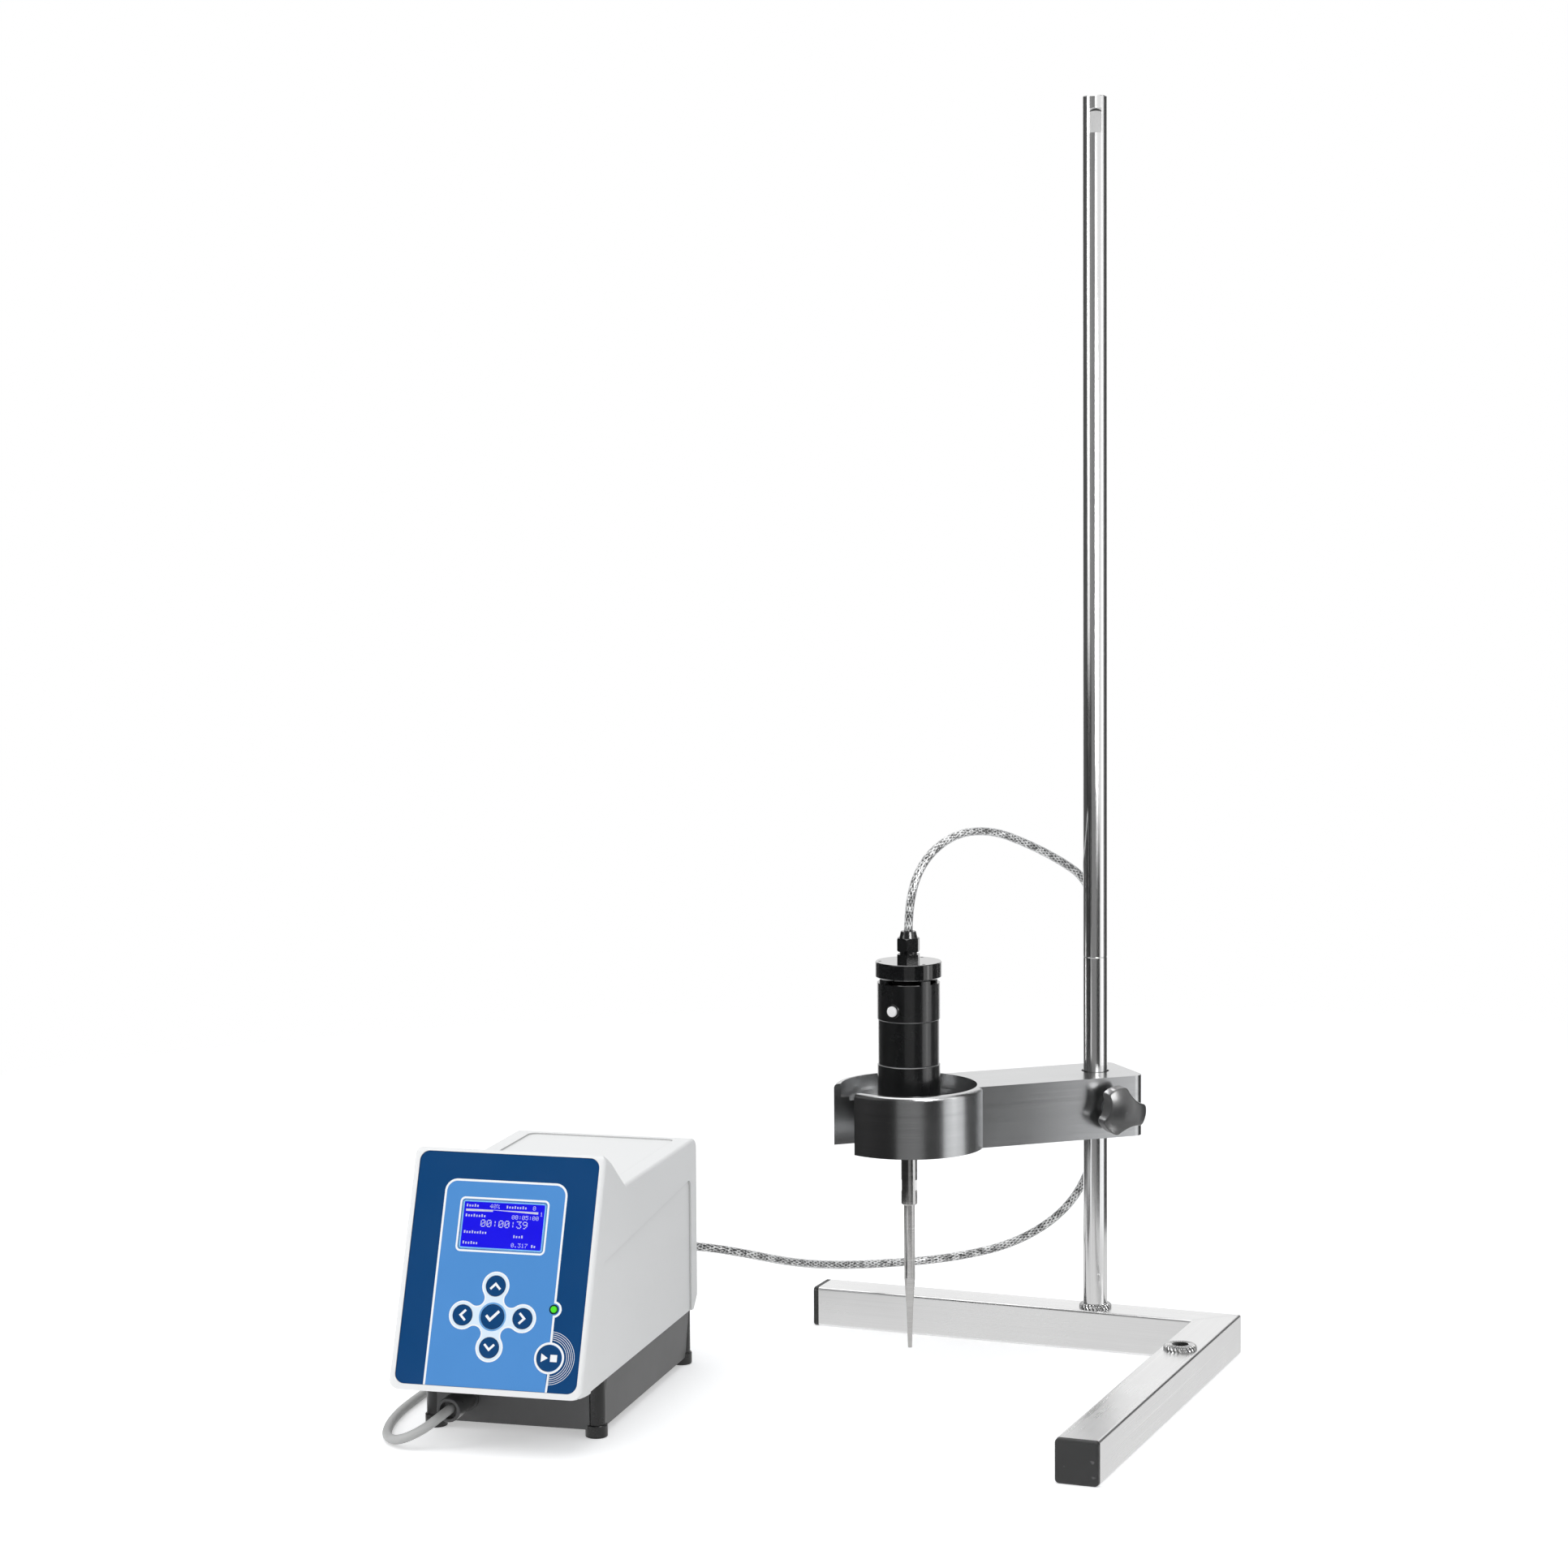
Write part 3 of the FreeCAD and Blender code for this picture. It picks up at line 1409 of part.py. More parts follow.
def make_cables(plug_mouth):
    # From the gland up, over and down behind the rod
    arch = route(
        holder_place,
        [
            (arm_reach, 0, gland_top),
            (arm_reach - 0.5, -0.1, gland_top + 24.0),
            (arm_reach - 13.6, -3.4, gland_top + 52.0),
            (arm_reach - 40.8, -10.0, gland_top + 69.0),
            (arm_reach - 73.8, -18.1, gland_top + 69.2),
            (43.2, -26.3, gland_top + 56.7),
            (12.1, -33.9, gland_top + 41.2),
            (-9.8, -39.1, gland_top + 26.6),
            (-19.0, -41.4, gland_top + 3.5),
            (-19.0, -41.4, gland_top - 20.5),
        ],
    )
    cord("hf_cable_arch", arch)
    # Down behind the rod, sagging across to the clip on the back of the generator, and down
    sagging = route(
        Placement(),
        [
            (-13.2, 43.7, 211.0),
            (-13.4, 43.7, 168.0),
            (-15.0, 43.8, 128.0),
            (-36.0, 43.0, 91.0),
            (-75.0, 38.0, 64.0),
            (-122.0, 24.0, 52.0),
            (-165.0, -2.0, 50.0),
            (-194.0, -40.0, 54.5),
            (-214.0, -80.0, 64.0),
            (-234.0, -117.0, 77.0),
        ],
    )
    splice_rear = clip_line - splice_from_clip
    behind = route(
        generator_place,
        [
            (72.0, clip_line, clip_up),
            (26.0, clip_line, clip_up),
            (-2.0, clip_line + 3.0, 68.0),
            (-20.0, clip_line + 9.0, 38.0),
            (-42.0, clip_line + 15.0, 12.0),
            (-65.0, clip_line + 16.0, 4.0),
            (-84.0, clip_line + 3.0, 4.2),
            (splice_across, clip_line - 23.0, splice_radius),
            (splice_across, splice_rear, splice_radius),
        ],
    )
    start = arch[-1]
    cord("hf_cable_lead", [start, Vector(start.x, start.y, 261.0)] + sagging + behind)
    grey = route(
        generator_place,
        [
            (splice_across, splice_rear - splice_length, splice_radius),
            (splice_across, 170.0, splice_radius),
            (-92.0, 138.0, 3.4),
            (-92.0, 106.0, 3.5),
            (-91.0, 76.0, 3.4),
            (-86.0, 44.0, 3.5),
            (-77.0, 16.0, 3.4),
            (-62.0, 1.0, 6.0),
            (-45.0, 1.0, 14.0),
            (plug_across, 14.0, plug_up),
        ],
    )
    cord("grey_lead", grey + [plug_mouth])
    make_splice(grey[0], behind[-1])


os.makedirs("parts", exist_ok=True)
make_stand()
make_rod()
make_holder()
make_clamp()
make_shells()
make_button()
make_cap()
make_gland()
make_horn()
make_stack()
make_upper_housing()
make_front_panel()
make_lower_housing()
make_rear_panel()
make_boards()
plug_mouth = make_plug()
make_cables(plug_mouth)
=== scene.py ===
import math

import bmesh
import bpy
from mathutils import Matrix, Vector


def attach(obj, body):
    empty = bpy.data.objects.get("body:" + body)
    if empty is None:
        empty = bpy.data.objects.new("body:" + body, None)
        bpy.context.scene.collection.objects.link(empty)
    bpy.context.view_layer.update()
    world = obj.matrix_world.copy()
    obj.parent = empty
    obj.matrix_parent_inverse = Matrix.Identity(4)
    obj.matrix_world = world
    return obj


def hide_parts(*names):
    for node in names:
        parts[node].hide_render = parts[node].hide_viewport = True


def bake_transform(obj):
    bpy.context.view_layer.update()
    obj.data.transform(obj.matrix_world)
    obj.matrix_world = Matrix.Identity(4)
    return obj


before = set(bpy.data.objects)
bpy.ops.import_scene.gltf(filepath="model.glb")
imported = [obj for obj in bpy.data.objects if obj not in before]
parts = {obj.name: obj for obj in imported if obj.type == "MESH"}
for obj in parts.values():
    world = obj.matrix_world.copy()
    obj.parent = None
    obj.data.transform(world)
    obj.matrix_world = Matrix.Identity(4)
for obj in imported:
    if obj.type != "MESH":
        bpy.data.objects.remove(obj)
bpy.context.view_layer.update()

scene = bpy.context.scene

# Camera: stands in front and to the right of the stand, a little above the generator, and looks
# slightly down. The shift only frames the object as the picture does.
image_width = 1932
focal_pixels = 4500
shift_pixels = -150
camera_place = (0.788, -2.595, 0.696)
camera_bearing = 21.77
camera_tilt = 3.81
camera_roll = -0.35
camera_data = bpy.data.cameras.new("camera")
camera_data.sensor_width = 36
camera_data.lens = focal_pixels / image_width * camera_data.sensor_width
camera_data.shift_y = shift_pixels / image_width
camera_data.clip_end = 30
camera = bpy.data.objects.new("camera", camera_data)
scene.collection.objects.link(camera)
camera.matrix_world = (
    Matrix.Translation(camera_place)
    @ Matrix.Rotation(math.radians(camera_bearing), 4, "Z")
    @ Matrix.Rotation(math.radians(90 - camera_tilt), 4, "X")
    @ Matrix.Rotation(math.radians(camera_roll), 4, "Z")
)
scene.camera = camera

# Room: a pale floor, a soft sky that is darker towards the sides, and large soft lamps. The
# camera, glossy and clear surfaces see the floor and the sky as plain white.
scene.view_settings.view_transform = "Standard"


def add_node(tree, kind, settings=(), **sockets):
    # s0= sets the first input, From_Min= the one called "From Min"; a socket as value is linked
    made = tree.nodes.new(kind)
    for name, value in dict(settings).items():
        setattr(made, name, value)
    for name, value in sockets.items():
        label = int(name[1:]) if name[1:].isdigit() else name.replace("_", " ")
        target = made.inputs[label]
        if isinstance(value, bpy.types.NodeSocket):
            tree.links.new(value, target)
        else:
            target.default_value = value
    return made


def math_node(tree, operation, first, second=0.0, third=0.0):
    settings = {"operation": operation}
    return add_node(tree, "ShaderNodeMath", settings, s0=first, s1=second, s2=third).outputs[0]


def map_range(tree, value, low, high, new_low=0.0, new_high=1.0):
    return add_node(
        tree,
        "ShaderNodeMapRange",
        Value=value,
        From_Min=low,
        From_Max=high,
        To_Min=new_low,
        To_Max=new_high,
    ).outputs["Result"]


def seen_plainly(tree):
    # 1 for what the camera sees straight, in a reflection or through something clear
    rays = add_node(tree, "ShaderNodeLightPath").outputs
    mirrored = math_node(tree, "MAXIMUM", rays["Is Glossy Ray"], rays["Is Transmission Ray"])
    return math_node(tree, "MAXIMUM", rays["Is Camera Ray"], mirrored)


world = bpy.data.worlds.new("studio")
scene.world = world
world.use_nodes = True
sky = world.node_tree
sky.nodes.clear()
lit_sky = add_node(sky, "ShaderNodeBackground", Color=(0.95, 0.97, 1.0, 1), Strength=0.67)
plain_sky = add_node(sky, "ShaderNodeBackground", Color=(1, 1, 1, 1), Strength=1.0)
seen_sky = add_node(
    sky,
    "ShaderNodeMixShader",
    s0=seen_plainly(sky),
    s1=lit_sky.outputs["Background"],
    s2=plain_sky.outputs["Background"],
)
add_node(sky, "ShaderNodeOutputWorld", Surface=seen_sky.outputs["Shader"])


def bare_material(name):
    made = bpy.data.materials.new(name)
    made.use_nodes = True
    made.node_tree.nodes.clear()
    return made, made.node_tree


def floor_material():
    # Near the object the floor takes its shadow; further out it fades to plain white
    made, tree = bare_material("floor")
    place = add_node(tree, "ShaderNodeNewGeometry").outputs["Position"]
    reach = add_node(tree, "ShaderNodeVectorMath", {"operation": "LENGTH"}, s0=place)
    far = map_range(tree, reach.outputs["Value"], 0.7, 1.6)
    diffuse = add_node(tree, "ShaderNodeBsdfDiffuse", Color=(0.86, 0.86, 0.86, 1))
    lift = add_node(tree, "ShaderNodeEmission", Color=(1, 1, 1, 1), Strength=0.40)
    lifted = add_node(tree, "ShaderNodeAddShader", s0=diffuse.outputs[0], s1=lift.outputs[0])
    white = add_node(tree, "ShaderNodeEmission", Color=(1, 1, 1, 1), Strength=1.0)
    faded = add_node(tree, "ShaderNodeMixShader", s0=far, s1=lifted.outputs[0], s2=white.outputs[0])
    chosen = add_node(
        tree,
        "ShaderNodeMixShader",
        s0=seen_plainly(tree),
        s1=diffuse.outputs[0],
        s2=faded.outputs[0],
    )
    add_node(tree, "ShaderNodeOutputMaterial", Surface=chosen.outputs[0])
    return made


def flag_material(name, value):
    # Studio flags and cards: only reflections see them
    made, tree = bare_material(name)
    glossy = add_node(tree, "ShaderNodeLightPath").outputs["Is Glossy Ray"]
    through = add_node(tree, "ShaderNodeBsdfTransparent").outputs[0]
    glow = add_node(tree, "ShaderNodeEmission", Color=(value, value, value, 1), Strength=1.0)
    chosen = add_node(tree, "ShaderNodeMixShader", s0=glossy, s1=through, s2=glow.outputs[0])
    add_node(tree, "ShaderNodeOutputMaterial", Surface=chosen.outputs[0])
    return made


def mesh_object(name, mesh, material):
    mesh.materials.clear()
    mesh.materials.append(material)
    made = bpy.data.objects.new(name, mesh)
    scene.collection.objects.link(made)
    return made


def staged_mesh(name, points, faces, material):
    mesh = bpy.data.meshes.new(name)
    mesh.from_pydata(points, [], faces)
    made = mesh_object(name, mesh, material)


flags_centre = (-0.06, -0.05)


def curved_flag(name, bearing_from, bearing_to, profile, material):
    # Bearings are in degrees to the right of the way the camera looks, round the holder. The
    # profile holds the flag's reach and height, from its foot to its top.
    steps = 16
    points = []
    for step in range(steps + 1):
        bearing = bearing_from + (bearing_to - bearing_from) * step / steps
        angle = math.radians(90 + camera_bearing - bearing)
        for reach, height in profile:
            x = reach * math.cos(angle) + flags_centre[0]
            y = reach * math.sin(angle) + flags_centre[1]
            points.append((x, y, height))
    rows = len(profile)
    faces = [
        (i * rows + j, (i + 1) * rows + j, (i + 1) * rows + j + 1, i * rows + j + 1)
        for i in range(steps)
        for j in range(rows - 1)
    ]
    staged_mesh(name, points, faces, material)


floor_corners = [(-9, -7, 0), (9, -7, 0), (9, 11, 0), (-9, 11, 0)]
staged_mesh("floor", floor_corners, [(0, 1, 2, 3)], floor_material())
dark_flag = flag_material("flag_dark", 0.03)
edge_flag = flag_material("flag_edge", 0.085)
grey_flag = flag_material("flag_grey", 0.24)
floor_flag = flag_material("flag_floor", 0.82)
right_strip = flag_material("strip_right", 2.2)
left_strip = flag_material("strip_left", 4.0)
near_card = flag_material("card_near", 18.0)
top_card = flag_material("card_top", 0.92)
inner_reach = 0.46
front_reach = 0.8
back_reach = 1.6
strip_reach = 1.2
flag_foot = 0.003
back_profile = [(inner_reach, flag_foot), (back_reach, flag_foot), (back_reach, 2.4)]
front_foot = [(inner_reach, flag_foot), (front_reach, flag_foot)]
left_profile = [(0.165, 0.10), (0.165, 0.34), (front_reach, 0.46), (front_reach, 0.16)]
curved_flag("flag_back_left", -100, -30, back_profile, edge_flag)
curved_flag("flag_back_right", 36, 92, back_profile, edge_flag)
curved_flag("flag_front_right", 134, 166, front_foot + [(front_reach, 0.30)], dark_flag)
curved_flag("flag_front_left", 216, 274, left_profile, dark_flag)
curved_flag("flag_front", 166, 216, front_foot + [(front_reach, 0.46)], grey_flag)
curved_flag("flag_front_high", 176, 232, [(front_reach, 0.46), (front_reach, 1.8)], grey_flag)
curved_flag("flag_floor", 0, 360, [(0.0005, 0.0015), (inner_reach, 0.0015)], floor_flag)
curved_flag("strip_right", 109, 117, [(strip_reach, 0.0), (strip_reach, 1.0)], right_strip)
curved_flag("strip_left", 286, 292, [(strip_reach, 0.0), (strip_reach, 0.12)], left_strip)
curved_flag("card_near", 150, 172, [(0.55, 0.40), (0.55, 0.72)], near_card)
curved_flag("card_rod_top", 162, 179, [(front_reach, 0.94), (front_reach, 1.02)], top_card)


def soft_lamp(name, place, target, width, height, power):
    data = bpy.data.lights.new(name, "AREA")
    data.shape = "RECTANGLE"
    data.size = width
    data.size_y = height
    data.energy = power
    lamp = bpy.data.objects.new(name, data)
    scene.collection.objects.link(lamp)
    lamp.location = place
    lamp.rotation_euler = (Vector(target) - Vector(place)).to_track_quat("-Z", "Y").to_euler()


soft_lamp("lamp_above", (-0.3, -0.6, 2.6), (0, 0, 0.2), 2.4, 2.0, 22)
soft_lamp("lamp_left", (-2.3, -1.9, 1.5), (-0.2, -0.2, 0.3), 1.0, 2.0, 20)
soft_lamp("lamp_front", (1.6, -3.2, 1.2), (0, 0, 0.3), 0.5, 1.8, 10)

# Cables: a silver braid under a clear jacket runs from the converter's gland up and over, down
# behind the rod, across to a clip on the generator's back and down to a moulded splice. A grey
# lead goes on from there along the generator's left side to the plug under the front panel.
cable_diameter = 0.0065
tube_sides = 24
generator_place = (-0.300, -0.424, 0)
generator_turn = math.radians(6.5)
generator_frame = Matrix.Translation(generator_place) @ Matrix.Rotation(generator_turn, 4, "Z")


def at_generator(points):
    return [tuple(generator_frame @ Vector(point)) for point in points]


def smooth_line(name, points):
    data = bpy.data.curves.new(name, "CURVE")
    data.dimensions = "3D"
    data.resolution_u = 14
    spline = data.splines.new("NURBS")
    spline.points.add(len(points) - 1)
    for control, place in zip(spline.points, points):
        control.co = (*place, 1)
    spline.order_u = 3
    spline.use_endpoint_u = True
    holder = bpy.data.objects.new(name, data)
    scene.collection.objects.link(holder)
    bpy.context.view_layer.update()
    mesh = bpy.data.meshes.new_from_object(holder)
    line = [vertex.co.copy() for vertex in mesh.vertices]
    bpy.data.objects.remove(holder)
    bpy.data.curves.remove(data)
    bpy.data.meshes.remove(mesh)
    return line


def swept_tube(name, line, material):
    # Rings that are carried along the line without twist, with the length along it kept in the UVs
    mesh = bpy.data.meshes.new(name)
    build = bmesh.new()
    layer = build.loops.layers.uv.new("UVMap")
    rings, run = [], [0.0]
    across = None
    for index, place in enumerate(line):
        before = line[max(index - 1, 0)]
        after = line[min(index + 1, len(line) - 1)]
        forward = (after - before).normalized()
        if across is None:
            across = forward.orthogonal().normalized()
        across = (across - forward * across.dot(forward)).normalized()
        up = forward.cross(across)
        ring = []
        for side in range(tube_sides):
            angle = 2 * math.pi * side / tube_sides
            offset = across * math.cos(angle) + up * math.sin(angle)
            ring.append(build.verts.new(place + offset * (cable_diameter / 2)))
        rings.append(ring)
        if index:
            run.append(run[-1] + (place - before).length)
    for index, (lower, upper) in enumerate(zip(rings, rings[1:])):
        for side in range(tube_sides):
            following = (side + 1) % tube_sides
            corners = (lower[side], lower[following], upper[following], upper[side])
            face = build.faces.new(corners)
            face.smooth = True
            spots = ((side, index), (side + 1, index), (side + 1, index + 1), (side, index + 1))
            for loop, (turn, step) in zip(face.loops, spots):
                loop[layer].uv = (turn / tube_sides, run[step])
    build.faces.new(list(reversed(rings[0])))
    build.faces.new(rings[-1])
    bmesh.ops.recalc_face_normals(build, faces=build.faces)
    build.to_mesh(mesh)
    build.free()
    return mesh_object(name, mesh, material)


def new_group(name, inputs, outputs):
    tree = bpy.data.node_groups.new(name, "ShaderNodeTree")
    for label, kind, value in inputs:
        socket = tree.interface.new_socket(label, in_out="INPUT", socket_type=kind)
        socket.default_value = value
    for label, kind in outputs:
        tree.interface.new_socket(label, in_out="OUTPUT", socket_type=kind)
    return tree, tree.nodes.new("NodeGroupInput"), tree.nodes.new("NodeGroupOutput")


def blank_material(name):
    made, tree = bare_material(name)
    shader = tree.nodes.new("ShaderNodeBsdfPrincipled")
    add_node(tree, "ShaderNodeOutputMaterial", Surface=shader.outputs["BSDF"])
    return made, tree, shader


def object_place(tree):
    return add_node(tree, "ShaderNodeTexCoord").outputs["Object"]


def axes_of(tree, vector):
    return add_node(tree, "ShaderNodeSeparateXYZ", Vector=vector).outputs


def noise(tree, place, scale, detail, roughness=0.5):
    return add_node(
        tree,
        "ShaderNodeTexNoise",
        Vector=place,
        Scale=scale,
        Detail=detail,
        Roughness=roughness,
    ).outputs["Fac"]


def mix_colours(tree, factor, first, second):
    made = add_node(tree, "ShaderNodeMix", {"data_type": "RGBA"}, s0=factor, s6=first, s7=second)
    return made.outputs[2]


def bump_into(tree, shader, height, strength, distance):
    bump = add_node(tree, "ShaderNodeBump", Strength=strength, Distance=distance, Height=height)
    tree.links.new(bump.outputs["Normal"], shader.inputs["Normal"])


# Handling marks: broad cloudy patches that shift roughness, and fine grain that carries the bump
marks, marks_in, marks_out = new_group(
    "handling_marks",
    [
        ("Patch Scale", "NodeSocketFloat", 18.0),
        ("Grain Scale", "NodeSocketFloat", 900.0),
        ("Low", "NodeSocketFloat", 0.3),
        ("High", "NodeSocketFloat", 0.5),
    ],
    [(label, "NodeSocketFloat") for label in ("Roughness", "Patches", "Grain")],
)
marks_place = object_place(marks)
patches = noise(marks, marks_place, marks_in.outputs["Patch Scale"], 4.0)
grain = noise(marks, marks_place, marks_in.outputs["Grain Scale"], 2.0)
spread = map_range(marks, patches, 0.3, 0.7, marks_in.outputs["Low"], marks_in.outputs["High"])
marks.links.new(spread, marks_out.inputs["Roughness"])
marks.links.new(patches, marks_out.inputs["Patches"])
marks.links.new(grain, marks_out.inputs["Grain"])


def use_marks(tree, patch_scale, grain_scale, low, high):
    return add_node(
        tree,
        "ShaderNodeGroup",
        {"node_tree": marks},
        Patch_Scale=patch_scale,
        Grain_Scale=grain_scale,
        Low=low,
        High=high,
    ).outputs


strands_round = 9
strand_pitch = 0.011
braid, braid_tree, braid_shader = blank_material("braided_cable")
along = axes_of(
    braid_tree, add_node(braid_tree, "ShaderNodeUVMap", {"uv_map": "UVMap"}).outputs["UV"]
)
around = math_node(braid_tree, "MULTIPLY", along["X"], 2 * math.pi * strands_round)
lengthwise = math_node(braid_tree, "MULTIPLY", along["Y"], 4 * math.pi / strand_pitch)
right_hand = math_node(braid_tree, "SINE", math_node(braid_tree, "ADD", around, lengthwise))
left_hand = math_node(braid_tree, "SINE", math_node(braid_tree, "SUBTRACT", around, lengthwise))
weave = math_node(braid_tree, "MAXIMUM", right_hand, left_hand)
braid_place = object_place(braid_tree)
wires = noise(braid_tree, braid_place, 650.0, 3.0, 0.7)
glints = map_range(braid_tree, wires, 0.38, 0.66, -0.9, 0.7)
bunches = noise(braid_tree, braid_place, 190.0, 2.0)
bunched = map_range(braid_tree, bunches, 0.4, 0.6, -0.55, 0.45)
uneven = math_node(braid_tree, "ADD", math_node(braid_tree, "ADD", weave, glints), bunched)
woven = map_range(braid_tree, uneven, -0.5, 1.25)
braid_tone = mix_colours(braid_tree, woven, (0.035, 0.035, 0.035, 1), (0.94, 0.94, 0.93, 1))
# Painted reflection: seen edge on, the clear jacket's sheen is drawn as a pale line over the wires
edge_on = add_node(braid_tree, "ShaderNodeLayerWeight", Blend=0.5).outputs["Facing"]
painted_edge_sheen = map_range(braid_tree, edge_on, 0.30, 0.75, 0.0, 0.92)
braid_tone = mix_colours(braid_tree, painted_edge_sheen, braid_tone, (0.95, 0.95, 0.95, 1))
braid_tree.links.new(braid_tone, braid_shader.inputs["Base Color"])
braid_shader.inputs["Metallic"].default_value = 0.2
braid_shader.inputs["Roughness"].default_value = 0.30
braid_shader.inputs["Coat Weight"].default_value = 1.0
braid_shader.inputs["Coat Roughness"].default_value = 0.06
bump_into(braid_tree, braid_shader, woven, 0.5, 0.0003)

gland_top = 0.3220
arm_reach = 0.1500
arm_bearing = math.radians(221.8)
holder_frame = Matrix.Rotation(arm_bearing, 4, "Z")
arch_route = [
    tuple(holder_frame @ Vector(point))
    for point in (
        (arm_reach, 0, gland_top),
        (arm_reach - 0.0005, -0.0001, gland_top + 0.0240),
        (arm_reach - 0.0136, -0.0034, gland_top + 0.0520),
        (arm_reach - 0.0408, -0.0100, gland_top + 0.0690),
        (arm_reach - 0.0738, -0.0181, gland_top + 0.0692),
        (0.0432, -0.0263, gland_top + 0.0567),
        (0.0121, -0.0339, gland_top + 0.0412),
        (-0.0098, -0.0391, gland_top + 0.0266),
        (-0.0190, -0.0414, gland_top + 0.0035),
        (-0.0190, -0.0414, gland_top - 0.0205),
    )
]
riser = Vector(arch_route[-1])
clip_line = 0.283
clip_up = 0.084
splice_across = -0.0930
splice_up = 0.0060
lead_route = [
    tuple(riser),
    (riser.x, riser.y, 0.2610),
    (-0.0132, 0.0437, 0.2110),
    (-0.0134, 0.0437, 0.1680),
    (-0.0150, 0.0438, 0.1280),
    (-0.0360, 0.0430, 0.0910),
    (-0.0750, 0.0380, 0.0640),
    (-0.1220, 0.0240, 0.0520),
    (-0.1650, -0.0020, 0.0500),
    (-0.1940, -0.0400, 0.0545),
    (-0.2140, -0.0800, 0.0640),
    (-0.2340, -0.1170, 0.0770),
] + at_generator(
    [
        (0.0720, clip_line, clip_up),
        (0.0260, clip_line, clip_up),
        (-0.0020, clip_line + 0.0030, 0.0680),
        (-0.0200, clip_line + 0.0090, 0.0380),
        (-0.0420, clip_line + 0.0150, 0.0120),
        (-0.0650, clip_line + 0.0160, 0.0040),
        (-0.0840, clip_line + 0.0030, 0.0042),
        (splice_across, clip_line - 0.0230, splice_up),
        (splice_across, clip_line - 0.0450, splice_up),
    ]
)
grey_route = at_generator(
    [
        (splice_across, 0.1920, splice_up),
        (splice_across, 0.1700, splice_up),
        (-0.0920, 0.1380, 0.0034),
        (-0.0920, 0.1060, 0.0035),
        (-0.0910, 0.0760, 0.0034),
        (-0.0860, 0.0440, 0.0035),
        (-0.0770, 0.0160, 0.0034),
        (-0.0620, 0.0010, 0.0060),
        (-0.0450, 0.0010, 0.0140),
        (-0.0340, 0.0140, 0.0230),
        (-0.0340, 0.0346, 0.0230),
    ]
)

arch_line = smooth_line("arch_line", arch_route)
arch = swept_tube("braided_cable_arch", arch_line, braid)
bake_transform(arch)
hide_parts("hf_cable_arch")

lead_line = smooth_line("lead_line", lead_route)
lead = swept_tube("braided_cable_lead", lead_line, braid)
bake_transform(lead)
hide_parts("hf_cable_lead")


def worn_finish(name, dark, light, scales, low, high, strength, depth):
    # Plastic, rubber, ink or ceramic: marks vary tone and roughness, and their grain is raised
    made, tree, shader = blank_material(name)
    worn = use_marks(tree, *scales, low, high)
    tree.links.new(mix_colours(tree, worn["Patches"], dark, light), shader.inputs["Base Color"])
    tree.links.new(worn["Roughness"], shader.inputs["Roughness"])
    bump_into(tree, shader, worn["Grain"], strength, depth)
    return made, shader


jacket = worn_finish(
    "grey_cable_jacket",
    (0.42, 0.42, 0.41, 1),
    (0.52, 0.52, 0.51, 1),
    (60.0, 1400.0),
    0.42,
    0.58,
    0.15,
    0.0002,
)[0]
grey_line = smooth_line("grey_line", grey_route)
grey_lead = swept_tube("grey_lead_tube", grey_line, jacket)
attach(grey_lead, "stand")
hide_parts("grey_lead")

# Stand: two lengths of square stainless tube, mitred and welded into an L, with a satin finish
# along their length. The weld over the mitre is dressed flush; black plastic caps close the ends.
lines, lines_in, lines_out = new_group(
    "brushed_lines",
    [("Place", "NodeSocketVector", (0, 0, 0)), ("Stretch", "NodeSocketVector", (1, 1, 1))],
    [("Lines", "NodeSocketFloat"), ("Scratches", "NodeSocketFloat")],
)
stretched = add_node(
    lines,
    "ShaderNodeVectorMath",
    {"operation": "MULTIPLY"},
    s0=lines_in.outputs["Place"],
    s1=lines_in.outputs["Stretch"],
).outputs["Vector"]
fine_lines = noise(lines, stretched, 1.0, 4.0, 0.6)
coarse_lines = noise(lines, stretched, 0.11, 2.0)
scratches = map_range(lines, noise(lines, stretched, 0.45, 1.0), 0.70, 0.76)
fine_share = math_node(lines, "MULTIPLY", fine_lines, 0.55)
all_lines = math_node(lines, "MULTIPLY_ADD", coarse_lines, 0.45, fine_share)
lines.links.new(all_lines, lines_out.inputs["Lines"])
lines.links.new(scratches, lines_out.inputs["Scratches"])


def use_lines(tree, stretch, place=None):
    place = place or object_place(tree)
    return add_node(
        tree, "ShaderNodeGroup", {"node_tree": lines}, Stretch=stretch, Place=place
    ).outputs


def grey(value, warmth=0.0):
    return (value * (1 + warmth), value, value * (1 - warmth), 1)


def brushed_metal(name, dark, light, stretch, low, high, depth):
    # Metal with fine lines along one direction, a few deeper scratches and cloudy wear
    made, tree, shader = blank_material(name)
    drawn = use_lines(tree, stretch)
    worn = use_marks(tree, 16.0, 700.0, low, high)
    spread = map_range(tree, drawn["Lines"], 0.3, 0.7, -0.05, 0.05)
    roughness = math_node(tree, "ADD", worn["Roughness"], spread)
    tone = mix_colours(tree, drawn["Lines"], dark, light)
    tone = mix_colours(tree, drawn["Scratches"], tone, light)
    tree.links.new(tone, shader.inputs["Base Color"])
    tree.links.new(roughness, shader.inputs["Roughness"])
    shader.inputs["Metallic"].default_value = 1.0
    cut = math_node(tree, "MULTIPLY", drawn["Scratches"], 0.12)
    bump_into(tree, shader, math_node(tree, "SUBTRACT", drawn["Lines"], cut), 0.25, depth)
    return made, tree, shader


def fed_into(shader, label):
    return shader.inputs[label].links[0].from_socket


def paint(material, *names):
    for name in names:
        slots = parts[name].data.materials
        slots.clear()
        slots.append(material)


